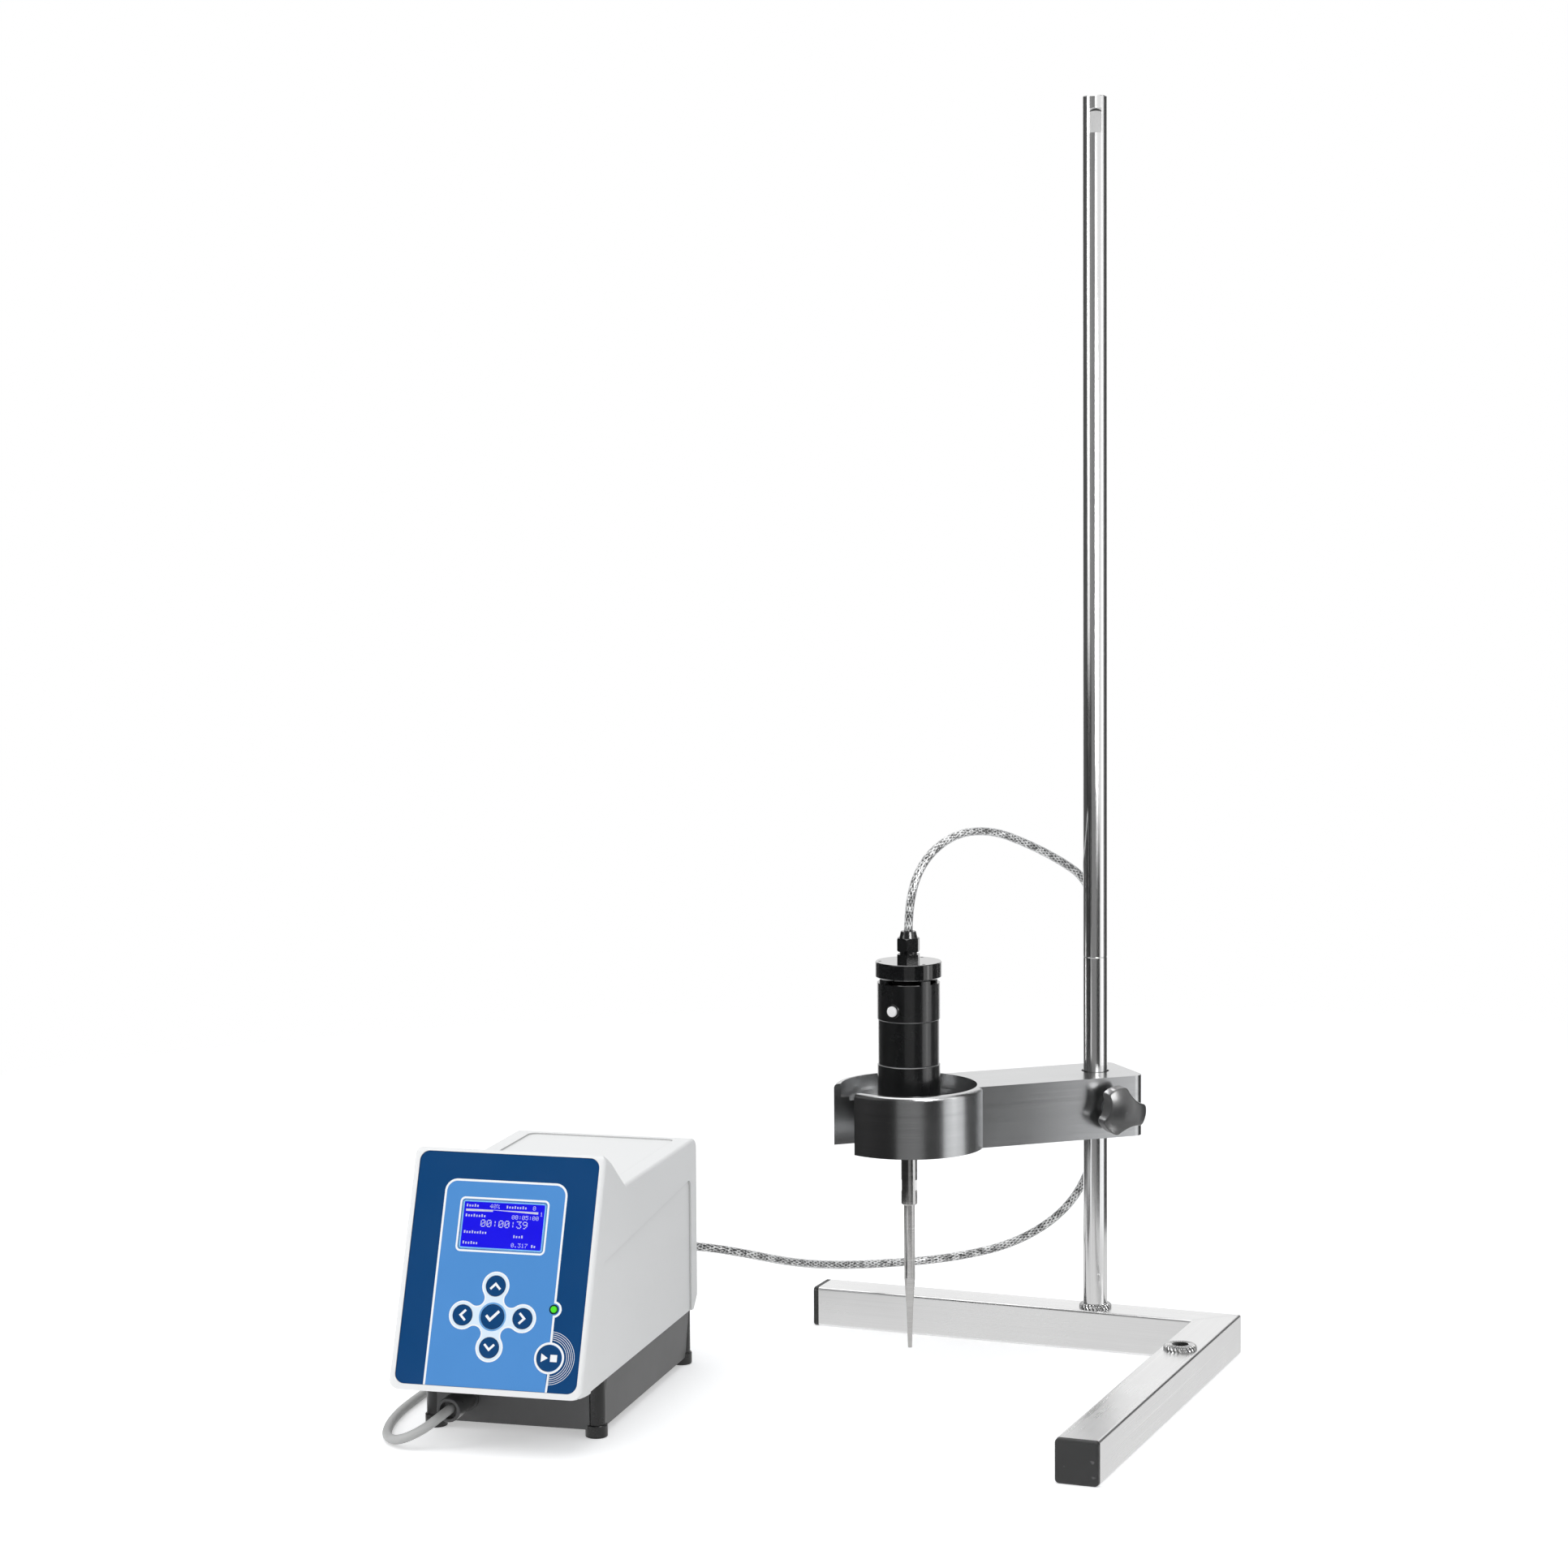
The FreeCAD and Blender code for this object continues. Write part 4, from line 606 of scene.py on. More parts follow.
tube_back, tube_back_tree, tube_back_shader = brushed_metal(
    "tube_back_beam", grey(0.72), grey(0.93), (5, 1500, 1500), 0.24, 0.34, 0.00003
)
tube_front, tube_front_tree, tube_front_shader = brushed_metal(
    "tube_front_beam", grey(0.72), grey(0.93), (1500, 5, 1500), 0.24, 0.34, 0.00003
)
mitre_offset = 0.093
for tree, shader in ((tube_back_tree, tube_back_shader), (tube_front_tree, tube_front_shader)):
    # The dressed weld: a slightly duller band along the mitre line
    here = axes_of(tree, object_place(tree))
    from_corner = math_node(tree, "SUBTRACT", here["X"], mitre_offset)
    off_line = math_node(tree, "SUBTRACT", from_corner, here["Y"])
    ripple = add_node(tree, "ShaderNodeTexNoise", Scale=420.0, Detail=2.0).outputs["Fac"]
    distance = math_node(tree, "ABSOLUTE", off_line)
    wavy = math_node(tree, "MULTIPLY_ADD", ripple, 0.003, distance)
    band = map_range(tree, wavy, 0.0022, 0.0048, 0.16, 0.0)
    duller = math_node(tree, "ADD", fed_into(shader, "Roughness"), band)
    tree.links.new(duller, shader.inputs["Roughness"])
paint(tube_back, "base_back_beam")
paint(tube_front, "base_front_beam")

end_cap, end_cap_tree, end_cap_shader = blank_material("end_cap_plastic")
scuffed = use_marks(end_cap_tree, 45.0, 1600.0, 0.42, 0.62)
scuffs = use_lines(end_cap_tree, (260, 60, 420))
cap_tone = mix_colours(end_cap_tree, scuffed["Patches"], grey(0.022), grey(0.042))
cap_tone = mix_colours(end_cap_tree, scuffs["Scratches"], cap_tone, grey(0.11))
end_cap_tree.links.new(cap_tone, end_cap_shader.inputs["Base Color"])
end_cap_tree.links.new(scuffed["Roughness"], end_cap_shader.inputs["Roughness"])
bump_into(end_cap_tree, end_cap_shader, scuffed["Grain"], 0.25, 0.0001)
paint(end_cap, "beam_end_caps")

# Bosses: turned rings welded on the tubes; the weld bead leaves ripples round each foot. The rod
# is screwed into one, the other stays free.


def boss_material(name, centre):
    made, tree, shader = brushed_metal(
        name, grey(0.42), grey(0.66), (30, 30, 2200), 0.22, 0.34, 0.00005
    )
    local = add_node(
        tree,
        "ShaderNodeVectorMath",
        {"operation": "SUBTRACT"},
        s0=object_place(tree),
        s1=(*centre, 0),
    )
    around = axes_of(tree, local.outputs["Vector"])
    turn = math_node(tree, "ARCTAN2", around["Y"], around["X"])
    slant = math_node(tree, "MULTIPLY", around["Z"], 1400.0)
    beads = math_node(tree, "SINE", math_node(tree, "MULTIPLY_ADD", turn, 26.0, slant))
    at_foot = map_range(tree, around["Z"], 0.0335, 0.0348, 1.0, 0.0)
    bump_into(tree, shader, math_node(tree, "MULTIPLY", beads, at_foot), 0.8, 0.0006)
    return made


paint(boss_material("rod_boss_steel", (0.0, 0.0)), "rod_boss")
paint(boss_material("spare_boss_steel", (0.093, -0.098)), "spare_boss")

# Rod: drawn and ground stainless bar in two lengths, joined on a hidden stud, screwed into the
# boss. Fine lines run along it.
rod_steel, rod_tree, rod_shader = brushed_metal(
    "ground_rod_steel", grey(0.62), grey(0.90), (800, 800, 1.5), 0.13, 0.19, 0.000002
)
flat_bearing = math.radians(-68.2)
flat_half_width = 0.00435
flat_from_axis = 0.0079
flat_upper_end = 0.9216


def turned_place(tree, bearing):
    # Places seen from a frame that stands on the rod's axis with its X along the bearing
    return add_node(
        tree,
        "ShaderNodeVectorRotate",
        {"rotation_type": "Z_AXIS"},
        Vector=object_place(tree),
        Angle=-bearing,
    ).outputs["Vector"]


rod_axes = axes_of(rod_tree, turned_place(rod_tree, flat_bearing))
off_middle = math_node(rod_tree, "ABSOLUTE", rod_axes["Y"])
off_axis = math_node(rod_tree, "ABSOLUTE", rod_axes["X"])
on_flat = math_node(
    rod_tree,
    "MULTIPLY",
    math_node(rod_tree, "LESS_THAN", off_middle, flat_half_width),
    math_node(rod_tree, "LESS_THAN", off_axis, flat_from_axis),
)
# Painted shade: a dark crescent at the upper end of each flat, where the cutter's rounded run-out
# curves away
below_end = math_node(rod_tree, "SUBTRACT", flat_upper_end, rod_axes["Z"])
bend = math_node(rod_tree, "MULTIPLY", math_node(rod_tree, "POWER", off_middle, 2.0), 105.0)
painted_shade_crescent_top = math_node(rod_tree, "GREATER_THAN", below_end, bend)
painted_shade_crescent_end = math_node(rod_tree, "MULTIPLY_ADD", bend, 0.35, 0.0018)
painted_shade_crescent_foot = math_node(rod_tree, "LESS_THAN", below_end, painted_shade_crescent_end)
painted_shade_crescent = math_node(rod_tree, "MULTIPLY", painted_shade_crescent_top, painted_shade_crescent_foot)
painted_shade_crescent = math_node(rod_tree, "MULTIPLY", on_flat, painted_shade_crescent)
# Painted shade: the flats get a darker metal tone than the round, which tones down the lamps'
# reflection in them
rod_tone = mix_colours(rod_tree, on_flat, fed_into(rod_shader, "Base Color"), grey(0.46))
rod_tone = mix_colours(rod_tree, painted_shade_crescent, rod_tone, grey(0.06))
rod_tree.links.new(rod_tone, rod_shader.inputs["Base Color"])
milled = math_node(rod_tree, "MULTIPLY_ADD", on_flat, 0.24, fed_into(rod_shader, "Roughness"))
rod_tree.links.new(milled, rod_shader.inputs["Roughness"])
paint(rod_steel, "rod_lower", "rod_upper")
zinc = brushed_metal(
    "zinc_plated_steel",
    (0.40, 0.41, 0.43, 1),
    (0.60, 0.61, 0.63, 1),
    (500, 500, 500),
    0.24,
    0.38,
    0.00003,
)[0]
paint(zinc, "rod_joint_stud", "bush_snap_ring", "stack_bolt")
paint(zinc, "cap_screws", "rear_screws", "base_screws")

# Holder: arm and ring milled from one aluminium block, then satin finished: along the sides the
# lines lie level, on top they run along the arm. It turns on a bronze bush around the rod.
arm_metal, arm_tree, arm_shader = blank_material("satin_arm_aluminium")
arm_place = turned_place(arm_tree, arm_bearing)
level_lines = use_lines(arm_tree, (14, 14, 2400), arm_place)
top_lines = use_lines(arm_tree, (14, 2200, 14), arm_place)
normal = axes_of(arm_tree, add_node(arm_tree, "ShaderNodeNewGeometry").outputs["Normal"])
is_level = map_range(arm_tree, math_node(arm_tree, "ABSOLUTE", normal["Z"]), 0.6, 0.8)
arm_lines = add_node(
    arm_tree, "ShaderNodeMix", s0=is_level, s2=level_lines["Lines"], s3=top_lines["Lines"]
).outputs[0]
arm_marks = use_marks(arm_tree, 11.0, 700.0, 0.20, 0.27)
side_tone = mix_colours(arm_tree, arm_lines, (0.36, 0.365, 0.37, 1), (0.60, 0.605, 0.61, 1))
# Painted light: the level top gets a lighter copy of the metal than the sides
painted_light_top_tone = mix_colours(arm_tree, arm_lines, (0.50, 0.505, 0.51, 1), (0.66, 0.665, 0.67, 1))
arm_tone = mix_colours(arm_tree, is_level, side_tone, painted_light_top_tone)
arm_tree.links.new(arm_tone, arm_shader.inputs["Base Color"])
arm_tree.links.new(arm_marks["Roughness"], arm_shader.inputs["Roughness"])
arm_shader.inputs["Metallic"].default_value = 1.0
bump_into(arm_tree, arm_shader, arm_lines, 0.3, 0.00004)
paint(arm_metal, "holder_arm")
bronze = brushed_metal(
    "turned_bronze",
    (0.42, 0.28, 0.11, 1),
    (0.62, 0.44, 0.20, 1),
    (20, 20, 1800),
    0.25,
    0.4,
    0.00004,
)[0]
paint(bronze, "guide_bush")

# Clamp: a three-lobed moulded knob on a plated steel spindle, which is screwed through the arm's
# side toward the bush. A plated washer lies between knob and arm.
paint(zinc, "clamp_washer", "clamp_spindle")
knob_plastic, knob_shader = worn_finish(
    "knob_plastic", grey(0.046), grey(0.062), (55.0, 2600.0), 0.30, 0.40, 0.3, 0.00010
)
knob_shader.inputs["Coat Weight"].default_value = 1.0
knob_shader.inputs["Coat Roughness"].default_value = 0.22
paint(knob_plastic, "clamp_knob")

# Converter: black shells with fine turned lines, drawn like anodised metal and screwed into one
# another under a cap that three sunk screws hold. A moulded cable gland is screwed into the cap.


def black_finish(name, base, stretch, low, high, coat, seams=()):
    made, tree, shader = blank_material(name)
    turned_lines = use_lines(tree, stretch)
    worn = use_marks(tree, 30.0, 1200.0, low, high)
    tone = mix_colours(tree, worn["Patches"], grey(base * 0.8, -0.05), grey(base * 1.25, -0.05))
    height = axes_of(tree, object_place(tree))["Z"]
    for seam in seams:
        # Painted highlight: the chamfers of a joint are drawn as a light line
        off_seam = math_node(tree, "ABSOLUTE", math_node(tree, "SUBTRACT", height, seam))
        painted_seam_highlight = map_range(tree, off_seam, 0.0001, 0.0005, 0.75, 0.0)
        tone = mix_colours(tree, painted_seam_highlight, tone, grey(0.30))
    tree.links.new(tone, shader.inputs["Base Color"])
    tree.links.new(worn["Roughness"], shader.inputs["Roughness"])
    shader.inputs["Coat Weight"].default_value = coat
    shader.inputs["Coat Roughness"].default_value = low * 0.6
    bump_into(tree, shader, turned_lines["Lines"], 0.2, 0.00003)
    return made


lower_seam = 0.2246
upper_seam = 0.2575
shell_black = black_finish(
    "anodised_shell", 0.0075, (12, 12, 2600), 0.24, 0.32, 0.9, seams=(lower_seam, upper_seam)
)
cap_black = black_finish("anodised_cap", 0.0075, (12, 12, 2600), 0.09, 0.14, 1.0)
gland_black = black_finish("gland_moulding", 0.006, (300, 300, 300), 0.18, 0.30, 0.5)
paint(
    shell_black,
    "converter_upper_shell",
    "converter_middle_shell",
    "converter_lower_shell",
    "button_bezel",
)
paint(cap_black, "converter_cap")
paint(gland_black, "gland_body", "gland_nut")

button_white = worn_finish(
    "button_plastic", grey(0.74, 0.01), grey(0.84, 0.01), (120.0, 2500.0), 0.22, 0.32, 0.1, 0.00005
)[0]
paint(button_white, "start_button")

# Horn and probe tip: titanium turned on a lathe, the tip screwed into the horn. The tip's end
# is dulled by use.
titanium, titanium_tree, titanium_shader = brushed_metal(
    "turned_titanium", grey(0.42, 0.015), grey(0.72, 0.01), (16, 16, 3000), 0.12, 0.20, 0.00002
)
tip_height = axes_of(titanium_tree, object_place(titanium_tree))["Z"]
dulled = map_range(titanium_tree, tip_height, 0.013, 0.045, 0.25, 0.0)
worn_tip = math_node(titanium_tree, "ADD", fed_into(titanium_shader, "Roughness"), dulled)
titanium_tree.links.new(worn_tip, titanium_shader.inputs["Roughness"])
paint(titanium, "horn", "probe_tip")

# Inside the converter: fired ceramic discs with a rolled brass contact plate between them, held
# between the horn and a steel back mass.
ceramic = worn_finish(
    "fired_ceramic",
    (0.55, 0.50, 0.40, 1),
    (0.68, 0.63, 0.52, 1),
    (90.0, 1500.0),
    0.5,
    0.7,
    0.3,
    0.0001,
)[0]
paint(ceramic, "piezo_discs")
brass = brushed_metal(
    "rolled_brass",
    (0.55, 0.38, 0.14, 1),
    (0.78, 0.60, 0.28, 1),
    (20, 900, 900),
    0.2,
    0.35,
    0.00003,
)[0]
paint(brass, "electrode_plate")
paint(zinc, "back_mass")

# Generator housing: painted sheet in warm white with a fine leather grain over a dark grey lower
# housing in the same paint. Black rubber feet stand in its corners; screws hold it from below.


def painted(name, dark, light, low, high, grain_scale, depth):
    made, tree, shader = blank_material(name)
    worn = use_marks(tree, 9.0, grain_scale, low, high)
    cells = add_node(
        tree,
        "ShaderNodeTexVoronoi",
        {"feature": "SMOOTH_F1"},
        Vector=object_place(tree),
        Scale=grain_scale,
        Smoothness=0.6,
    ).outputs["Distance"]
    # Painted shade: steps and inner corners are darkened by an occlusion mask
    open_sky = add_node(
        tree, "ShaderNodeAmbientOcclusion", {"samples": 8, "only_local": True}, Distance=0.005
    ).outputs["AO"]
    unshaded_share = map_range(tree, open_sky, 0.45, 0.95)
    tone = mix_colours(tree, worn["Patches"], dark, light)
    painted_shade_colour = tuple(channel * 0.62 for channel in dark[:3])
    tone_with_painted_shade = mix_colours(tree, unshaded_share, (*painted_shade_colour, 1), tone)
    tree.links.new(tone_with_painted_shade, shader.inputs["Base Color"])
    tree.links.new(worn["Roughness"], shader.inputs["Roughness"])
    height = math_node(tree, "MULTIPLY_ADD", worn["Grain"], 0.5, cells)
    bump_into(tree, shader, height, 0.28, depth)
    return made


housing_white = painted(
    "housing_paint_white", (0.82, 0.82, 0.81, 1), (0.88, 0.88, 0.87, 1), 0.42, 0.52, 1100.0, 0.00016
)
housing_grey = painted("housing_paint_grey", grey(0.086), grey(0.106), 0.38, 0.5, 1100.0, 0.00014)
paint(housing_white, "upper_housing")
paint(housing_grey, "lower_housing")


def moulded(name, dark, light, low, high):
    return worn_finish(name, dark, light, (70.0, 1800.0), low, high, 0.22, 0.0001)[0]


foot_rubber = moulded("foot_rubber", grey(0.010), grey(0.017), 0.22, 0.36)
paint(foot_rubber, "generator_feet")

# Front foil: a printed laminate glued into the panel's bed. Dark blue carries a light blue field
# with a white edge line, which bulges round the lamp; the prints are screen inks on the foil.
panel_foot = 0.042
panel_lean = 21
panel_frame = (
    generator_frame
    @ Matrix.Translation((0, 0, panel_foot))
    @ Matrix.Rotation(math.radians(90 - panel_lean), 4, "X")
)
millimetre = 0.001
foil_top = -0.6
key_top = -0.15
ink_step = 0.02


def laminate(name, colour):
    shade = tuple(channel * 0.95 for channel in colour)
    made, shader = worn_finish(
        name, (*shade, 1), (*colour, 1), (26.0, 2400.0), 0.28, 0.34, 0.06, 0.00004
    )
    shader.inputs["Specular IOR Level"].default_value = 0.3
    return made


dark_blue = laminate("ink_dark_blue", (0.0004, 0.056, 0.190))
light_blue = laminate("ink_light_blue", (0.080, 0.280, 0.650))
pale_blue = laminate("ink_pale_blue", (0.74, 0.86, 0.97))
ring_blue = laminate("ink_ring_blue", (0.16, 0.40, 0.75))
white_ink = laminate("ink_white", (0.93, 0.94, 0.95))
paint(dark_blue, "front_foil")


def arc(centre, radius, start, end, steps=24):
    found = []
    for step in range(steps + 1):
        angle = math.radians(start + (end - start) * step / steps)
        found.append((centre[0] + radius * math.cos(angle), centre[1] + radius * math.sin(angle)))
    return found


def ring_hole(centre, radius):
    return arc(centre, radius, 0, 360, 64)[:-1]


def rounded_rectangle(left, right, low, high, radius):
    return (
        arc((right - radius, high - radius), radius, 90, 0, 10)
        + arc((right - radius, low + radius), radius, 0, -90, 10)
        + arc((left + radius, low + radius), radius, -90, -180, 10)
        + arc((left + radius, high - radius), radius, 180, 90, 10)
    )


def print_on_panel(name, outlines, level, material, body="stand"):
    # Closed outlines in the panel's frame, filled with the even-odd rule and laid at a level
    data = bpy.data.curves.new(name, "CURVE")
    data.dimensions = "2D"
    data.fill_mode = "BOTH"
    for outline in outlines:
        spline = data.splines.new("POLY")
        spline.points.add(len(outline) - 1)
        for control, (across, up) in zip(spline.points, outline):
            control.co = (across, up, 0, 1)
        spline.use_cyclic_u = True
    holder = bpy.data.objects.new(name, data)
    scene.collection.objects.link(holder)
    bpy.context.view_layer.update()
    mesh = bpy.data.meshes.new_from_object(holder)
    bpy.data.objects.remove(holder)
    bpy.data.curves.remove(data)
    mesh.transform(panel_frame @ Matrix.Scale(millimetre, 4) @ Matrix.Translation((0, 0, level)))
    made = mesh_object(name, mesh, material)
    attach(made, body)


pad_centre = (0.0, 52.3)
arrow_centres = {
    "key_up": (0.0, 73.1),
    "key_left": (-21.5, 52.3),
    "key_down": (0.0, 31.5),
    "key_right": (21.5, 52.3),
}
start_centre = (43.3, 27.1)
lamp_centre = (43.0, 59.7)
hole_margin = 0.3
arrow_hole = 6.9 + hole_margin
set_hole = 8.2 + hole_margin
start_hole = 8.8 + hole_margin
lamp_hole = 2.4
field_side = 43.5
field_top = 144.0
field_foot = 4.3
field_corner = 8.0
line_half = 0.75
lamp_bulge = 4.8
window_side = 30.0
window_low = 97.5
window_high = 130.5


def field_outline(grow):
    # The field's edge line lies at grow = 0; it bulges to the right around the lamp
    side = field_side + grow
    bulge = lamp_bulge + grow
    opening = math.degrees(math.acos((side - lamp_centre[0]) / bulge))
    corner = field_corner + grow
    centre_up = field_top - field_corner
    return (
        [(-side, field_foot)]
        + arc((field_corner - field_side, centre_up), corner, 180, 90, 12)
        + arc((field_side - field_corner, centre_up), corner, 90, 0, 12)
        + arc(lamp_centre, bulge, opening, -opening, 20)
        + [(side, field_foot)]
    )


def window_outline(grow, corner):
    side = window_side + grow
    return rounded_rectangle(-side, side, window_low - grow, window_high + grow, corner)


window_hole = window_outline(0.35, 2.0)
key_holes = [ring_hole(centre, arrow_hole) for centre in arrow_centres.values()]
key_holes.append(ring_hole(pad_centre, set_hole))
start_cut = ring_hole(start_centre, start_hole)
lamp_cut = ring_hole(lamp_centre, lamp_hole)
print_on_panel(
    "print_field_line",
    [field_outline(line_half), window_hole, start_cut, lamp_cut] + key_holes,
    foil_top + ink_step,
    white_ink,
)
print_on_panel(
    "print_field",
    [field_outline(-line_half), window_hole, ring_hole(start_centre, 10.5), lamp_cut] + key_holes,
    foil_top + 2 * ink_step,
    light_blue,
)
print_on_panel(
    "print_window_frame",
    [window_outline(2.2, 3.6), window_outline(0.9, 2.4)],
    foil_top + 3 * ink_step,
    white_ink,
)

# Key field: a white-edged pale cross of four lobes that run into one another, with a blue ring
# round the middle key. The start key has a white ring and thin arcs that fade out to its right.


def circles_meet(first, second, reach, outwards):
    # The point at the same reach from both centres, on the outer side
    middle = ((first[0] + second[0]) / 2, (first[1] + second[1]) / 2)
    gap = (second[0] - first[0], second[1] - first[1])
    half = math.hypot(*gap) / 2
    rise = math.sqrt(reach**2 - half**2)
    side = (-gap[1] / (2 * half), gap[0] / (2 * half))
    return (middle[0] + outwards * rise * side[0], middle[1] + outwards * rise * side[1])


def bearing_of(centre, point):
    return math.degrees(math.atan2(point[1] - centre[1], point[0] - centre[0]))


def cross_outline(lobe_radius, neck_radius):
    # Clockwise from the left lobe: each lobe's arc, then the hollow arc that leads to the next
    centres = [arrow_centres[key] for key in ("key_left", "key_up", "key_right", "key_down")]
    reach = lobe_radius + neck_radius
    hollows = [circles_meet(centres[i], centres[(i + 1) % 4], reach, 1) for i in range(4)]
    outline = []
    for i, centre in enumerate(centres):
        start = bearing_of(centre, hollows[i - 1])
        end = bearing_of(centre, hollows[i])
        while end > start:
            end -= 360
        outline += arc(centre, lobe_radius, start, end, 24)
        hollow = hollows[i]
        start = bearing_of(hollow, centre)
        end = bearing_of(hollow, centres[(i + 1) % 4])
        while end < start:
            end += 360
        outline += arc(hollow, neck_radius, start, end, 12)
    return outline


cross_edge = [cross_outline(9.75, 5.4)] + key_holes
print_on_panel("print_cross_edge", cross_edge, foil_top + 3 * ink_step, white_ink)
cross = [cross_outline(8.75, 6.4)] + key_holes
print_on_panel("print_cross", cross, foil_top + 4 * ink_step, pale_blue)
set_ring = [ring_hole(pad_centre, 9.7), ring_hole(pad_centre, set_hole)]
print_on_panel("print_set_ring", set_ring, foil_top + 5 * ink_step, ring_blue)
start_ring = [ring_hole(start_centre, 10.6), start_cut]
print_on_panel("print_start_ring", start_ring, foil_top + 5 * ink_step, white_ink)
arc_width = 0.32
first_arc = 12.3
arc_pitch = 1.35
arc_bands = []
for step in range(5):
    arc_radius = first_arc + arc_pitch * step
    opening = math.degrees(math.acos((field_side + line_half - start_centre[0]) / arc_radius))
    outer = arc(start_centre, arc_radius + arc_width / 2, opening, -opening, 40)
    inner = arc(start_centre, arc_radius - arc_width / 2, -opening, opening, 40)
    arc_bands.append(outer + inner)
print_on_panel("print_start_arcs", arc_bands, foil_top + ink_step, white_ink)

# Keys: short-stroke caps under the same laminate, each sprung on its own. White marks are printed
# on top: arrows, a tick for the middle key, a start wedge and a stop square for the last.
paint(dark_blue, "key_up", "key_down", "key_left", "key_right", "key_set", "key_start")
key_turns = {"key_up": 0, "key_left": 90, "key_down": 180, "key_right": 270}
arrow_shape = [(-4.1, -1.7), (-3.0, -2.8), (0.0, 0.2), (3.0, -2.8), (4.1, -1.7), (0.0, 2.5)]
for key, centre in arrow_centres.items():
    turn = math.radians(key_turns[key])
    shape = [
        (
            centre[0] + x * math.cos(turn) - y * math.sin(turn),
            centre[1] + x * math.sin(turn) + y * math.cos(turn),
        )
        for x, y in arrow_shape
    ]
    print_on_panel("print_" + key, [shape], key_top + ink_step, white_ink, key)
tick = [(-5.1, 0.1), (-3.8, 1.4), (-1.5, -0.9), (3.9, 4.6), (5.2, 3.3), (-1.5, -3.6)]
start_wedge = [(-5.6, -2.9), (-5.6, 2.9), (-0.8, 0.0)]
stop_square = [(0.9, -2.4), (0.9, 2.4), (5.7, 2.4), (5.7, -2.4)]
for key, centre, shapes in (
    ("key_set", pad_centre, [tick]),
    ("key_start", start_centre, [start_wedge, stop_square]),
):
    placed = [[(centre[0] + x, centre[1] + y) for x, y in shape] for shape in shapes]
    print_on_panel("print_" + key, placed, key_top + ink_step, white_ink, key)

# Display: a blue module behind a clear acrylic window that is bonded into the foil. It shows plain
# numbers, a level bar and rows of short strokes where a real one has words.
window_acrylic, window_tree, window_shader = blank_material("clear_acrylic")
window_marks = use_marks(window_tree, 35.0, 900.0, 0.01, 0.05)
window_tree.links.new(window_marks["Roughness"], window_shader.inputs["Roughness"])
window_shader.inputs["Base Color"].default_value = (0.96, 0.98, 1.0, 1)
window_shader.inputs["Transmission Weight"].default_value = 1.0
window_shader.inputs["IOR"].default_value = 1.2
bump_into(window_tree, window_shader, window_marks["Patches"], 0.04, 0.0002)
paint(window_acrylic, "display_window")


def lit(name, colour, strength, mottle=0.9):
    made, tree, shader = blank_material(name)
    worn = use_marks(tree, 40.0, 1500.0, 0.3, 0.4)
    shade = tuple(channel * mottle for channel in colour)
    tone = mix_colours(tree, worn["Patches"], (*shade, 1), (*colour, 1))
    tree.links.new(tone, shader.inputs["Base Color"])
    tree.links.new(tone, shader.inputs["Emission Color"])
    tree.links.new(worn["Roughness"], shader.inputs["Roughness"])
    shader.inputs["Emission Strength"].default_value = strength
    return made


display_blue = lit("display_blue", (0.010, 0.006, 0.72), 0.75)
display_text = lit("display_text", (0.60, 0.60, 0.70), 0.7)
band_blue = lit("display_band", (0.24, 0.56, 0.90), 0.6)
paint(display_blue, "lcd_module")
inside_window = -0.80
print_on_panel(
    "display_border",
    [window_outline(0.0, 1.8)],
    inside_window - 2 * ink_step,
    band_blue,
)
print_on_panel(
    "display_face",
    [window_outline(-1.0, 0.6)],
    inside_window,
    display_blue,
)
glyph_rows = {
    "0": "01110 10001 10011 10101 11001 10001 01110",
    "1": "00100 01100 00100 00100 00100 00100 01110",
    "3": "11111 00010 00100 00010 00001 10001 01110",
    "4": "00010 00110 01010 10010 11111 00010 00010",
    "5": "11111 10000 11110 00001 00001 10001 01110",
    "7": "11111 00001 00010 00100 01000 01000 01000",
    "9": "01110 10001 10001 01111 00001 00010 01100",
    "%": "11000 11001 00010 00100 01000 10011 00011",
    ":": "00000 00100 00100 00000 00100 00100 00000",
    ".": "00000 00000 00000 00000 00000 01100 01100",
}


def dot_text(text, left, top, pitch):
    # Small squares in a 5 by 7 grid per figure, with a thin gap between the squares
    size = pitch * 0.9
    squares = []
    for place, letter in enumerate(text):
        for row, cells in enumerate(glyph_rows[letter].split()):
            for column, cell in enumerate(cells):
                if cell == "1":
                    x = left + (place * 6 + column) * pitch
                    y = top - row * pitch
                    squares.append([(x, y), (x + size, y), (x + size, y - size), (x, y - size)])
    return squares


def bar(left, right, low, high):
    return [(left, low), (right, low), (right, high), (left, high)]


def strokes(left, low, count):
    # A row of short upright strokes, every third one taller
    pitch = 1.9
    width = 1.0
    tall = 1.9
    short = 1.4
    found = []
    for i in range(count):
        start = left + pitch * i
        found.append(bar(start, start + width, low, low + (tall if i % 3 == 0 else short)))
    return found


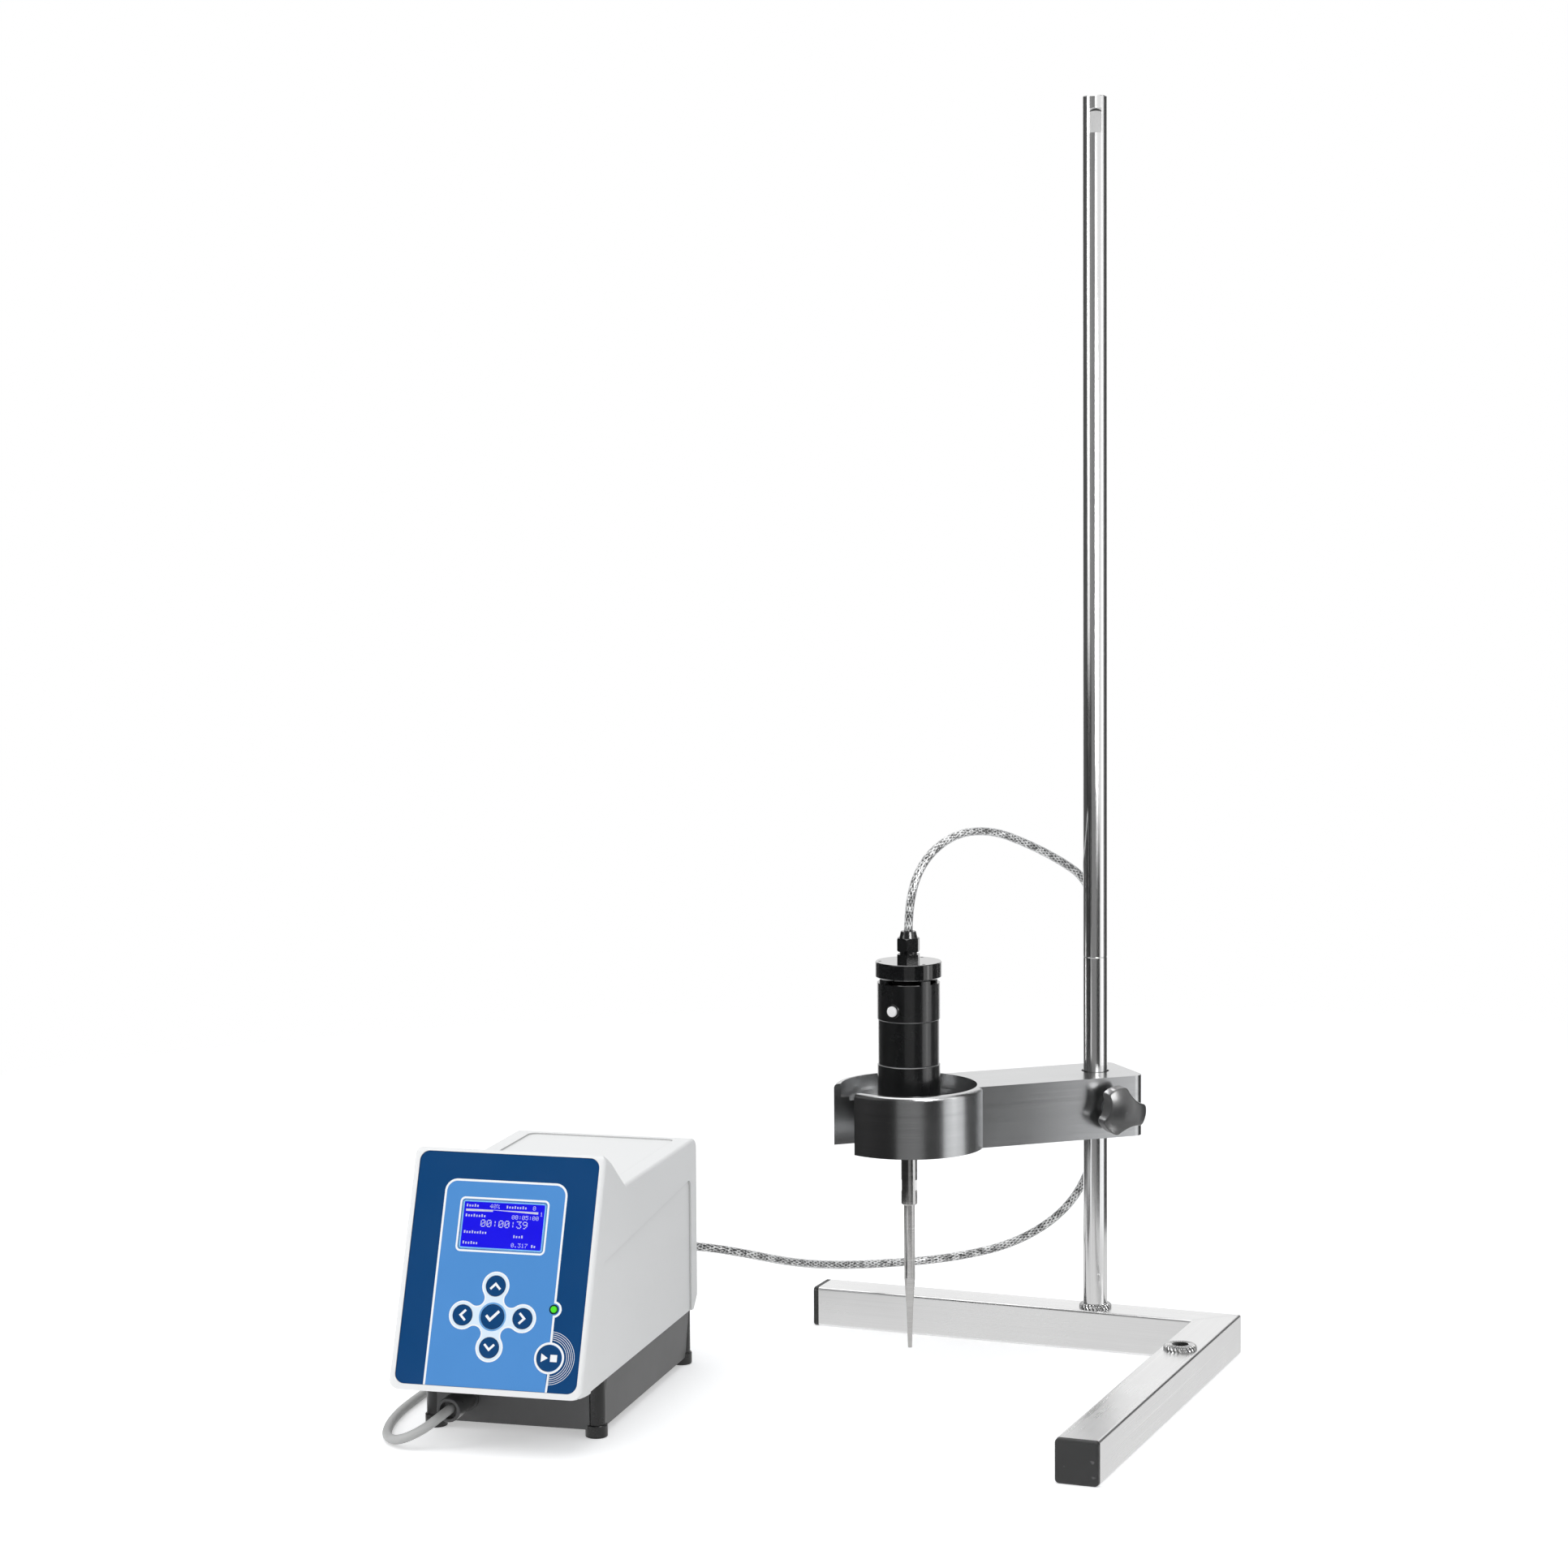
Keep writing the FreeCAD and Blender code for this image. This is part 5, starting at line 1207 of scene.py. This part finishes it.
small_dot = 0.41
large_dot = 0.72
shown = dot_text("40%", -10.5, 128.4, small_dot)
shown += dot_text("0", 20.5, 128.4, small_dot)
shown += dot_text("00:05:00", 6.0, 121.6, small_dot)
shown += dot_text("00:00:39", -16.0, 117.6, large_dot)
shown += dot_text("0.317", 7.5, 102.6, small_dot)
shown += dot_text("1", 26.0, 124.6, small_dot)
shown += strokes(-27.4, 126.0, 5) + strokes(1.5, 126.0, 8)
shown += strokes(-27.4, 119.2, 8) + strokes(-27.4, 107.9, 9) + strokes(8.5, 106.2, 4)
shown += strokes(-27.4, 100.6, 6) + strokes(22.0, 100.2, 2)
level_low = 122.9
level_high = 124.5
level_line = 0.25
shown += [
    bar(-27.6, -8.0, level_low, level_high),
    bar(-8.0, 25.0, level_low, level_low + level_line),
    bar(-8.0, 25.0, level_high - level_line, level_high),
    bar(24.6, 25.0, level_low, level_high),
]
print_on_panel(
    "display_figures", shown, inside_window + 2 * ink_step, display_text
)

# Lamp: a clear green moulded lens over the diode, pressed through the foil. A dark ring round it is
# painted shade that stands for the well it sits in.
lamp_green = lit("lamp_green", (0.06, 0.62, 0.01), 0.55, 0.7)
paint(lamp_green, "status_led")
lamp_well_shade = laminate("lamp_well_painted_shade", (0.010, 0.035, 0.045))
well_ring = [ring_hole(lamp_centre, 3.3), lamp_cut]
print_on_panel("lamp_well_shade_ring", well_ring, foil_top + 3 * ink_step, lamp_well_shade)

# Boards and parts inside the generator: green solder mask, a taped coil and a finned aluminium
# sink, all on posts on the housing's floor.
solder_mask = moulded("solder_mask", (0.015, 0.11, 0.04, 1), (0.03, 0.17, 0.07, 1), 0.25, 0.4)
coil_tape = moulded("coil_tape", (0.42, 0.30, 0.04, 1), (0.58, 0.42, 0.07, 1), 0.35, 0.5)
sheet_metal = brushed_metal(
    "rolled_aluminium", grey(0.48), grey(0.66), (900, 14, 900), 0.3, 0.42, 0.00003
)[0]
paint(solder_mask, "main_board", "keypad_board")
paint(coil_tape, "hf_transformer")
paint(sheet_metal, "heat_sink")

# Rear: an aluminium panel screwed into the housing, with a moulded mains inlet and a rocker switch
# snapped in and a grey moulded clip for the cable under one more screw.
rear_metal = brushed_metal(
    "rear_panel_aluminium", grey(0.50), grey(0.68), (14, 14, 1400), 0.3, 0.42, 0.00003
)[0]
paint(rear_metal, "rear_panel")
inlet_black = moulded("inlet_moulding", grey(0.014), grey(0.022), 0.3, 0.45)
paint(inlet_black, "mains_inlet", "mains_switch_frame", "mains_rocker")
clip_grey = moulded("clip_moulding", grey(0.045), grey(0.065), 0.4, 0.55)
paint(clip_grey, "cable_clip", "cable_splice")

# Plug and socket under the panel: a grey painted metal collar over a moulded body, pushed into the
# lower housing's socket.
plug_paint = moulded("plug_paint", grey(0.048), grey(0.068), 0.26, 0.38)
paint(plug_paint, "front_socket", "plug_body", "plug_collar")
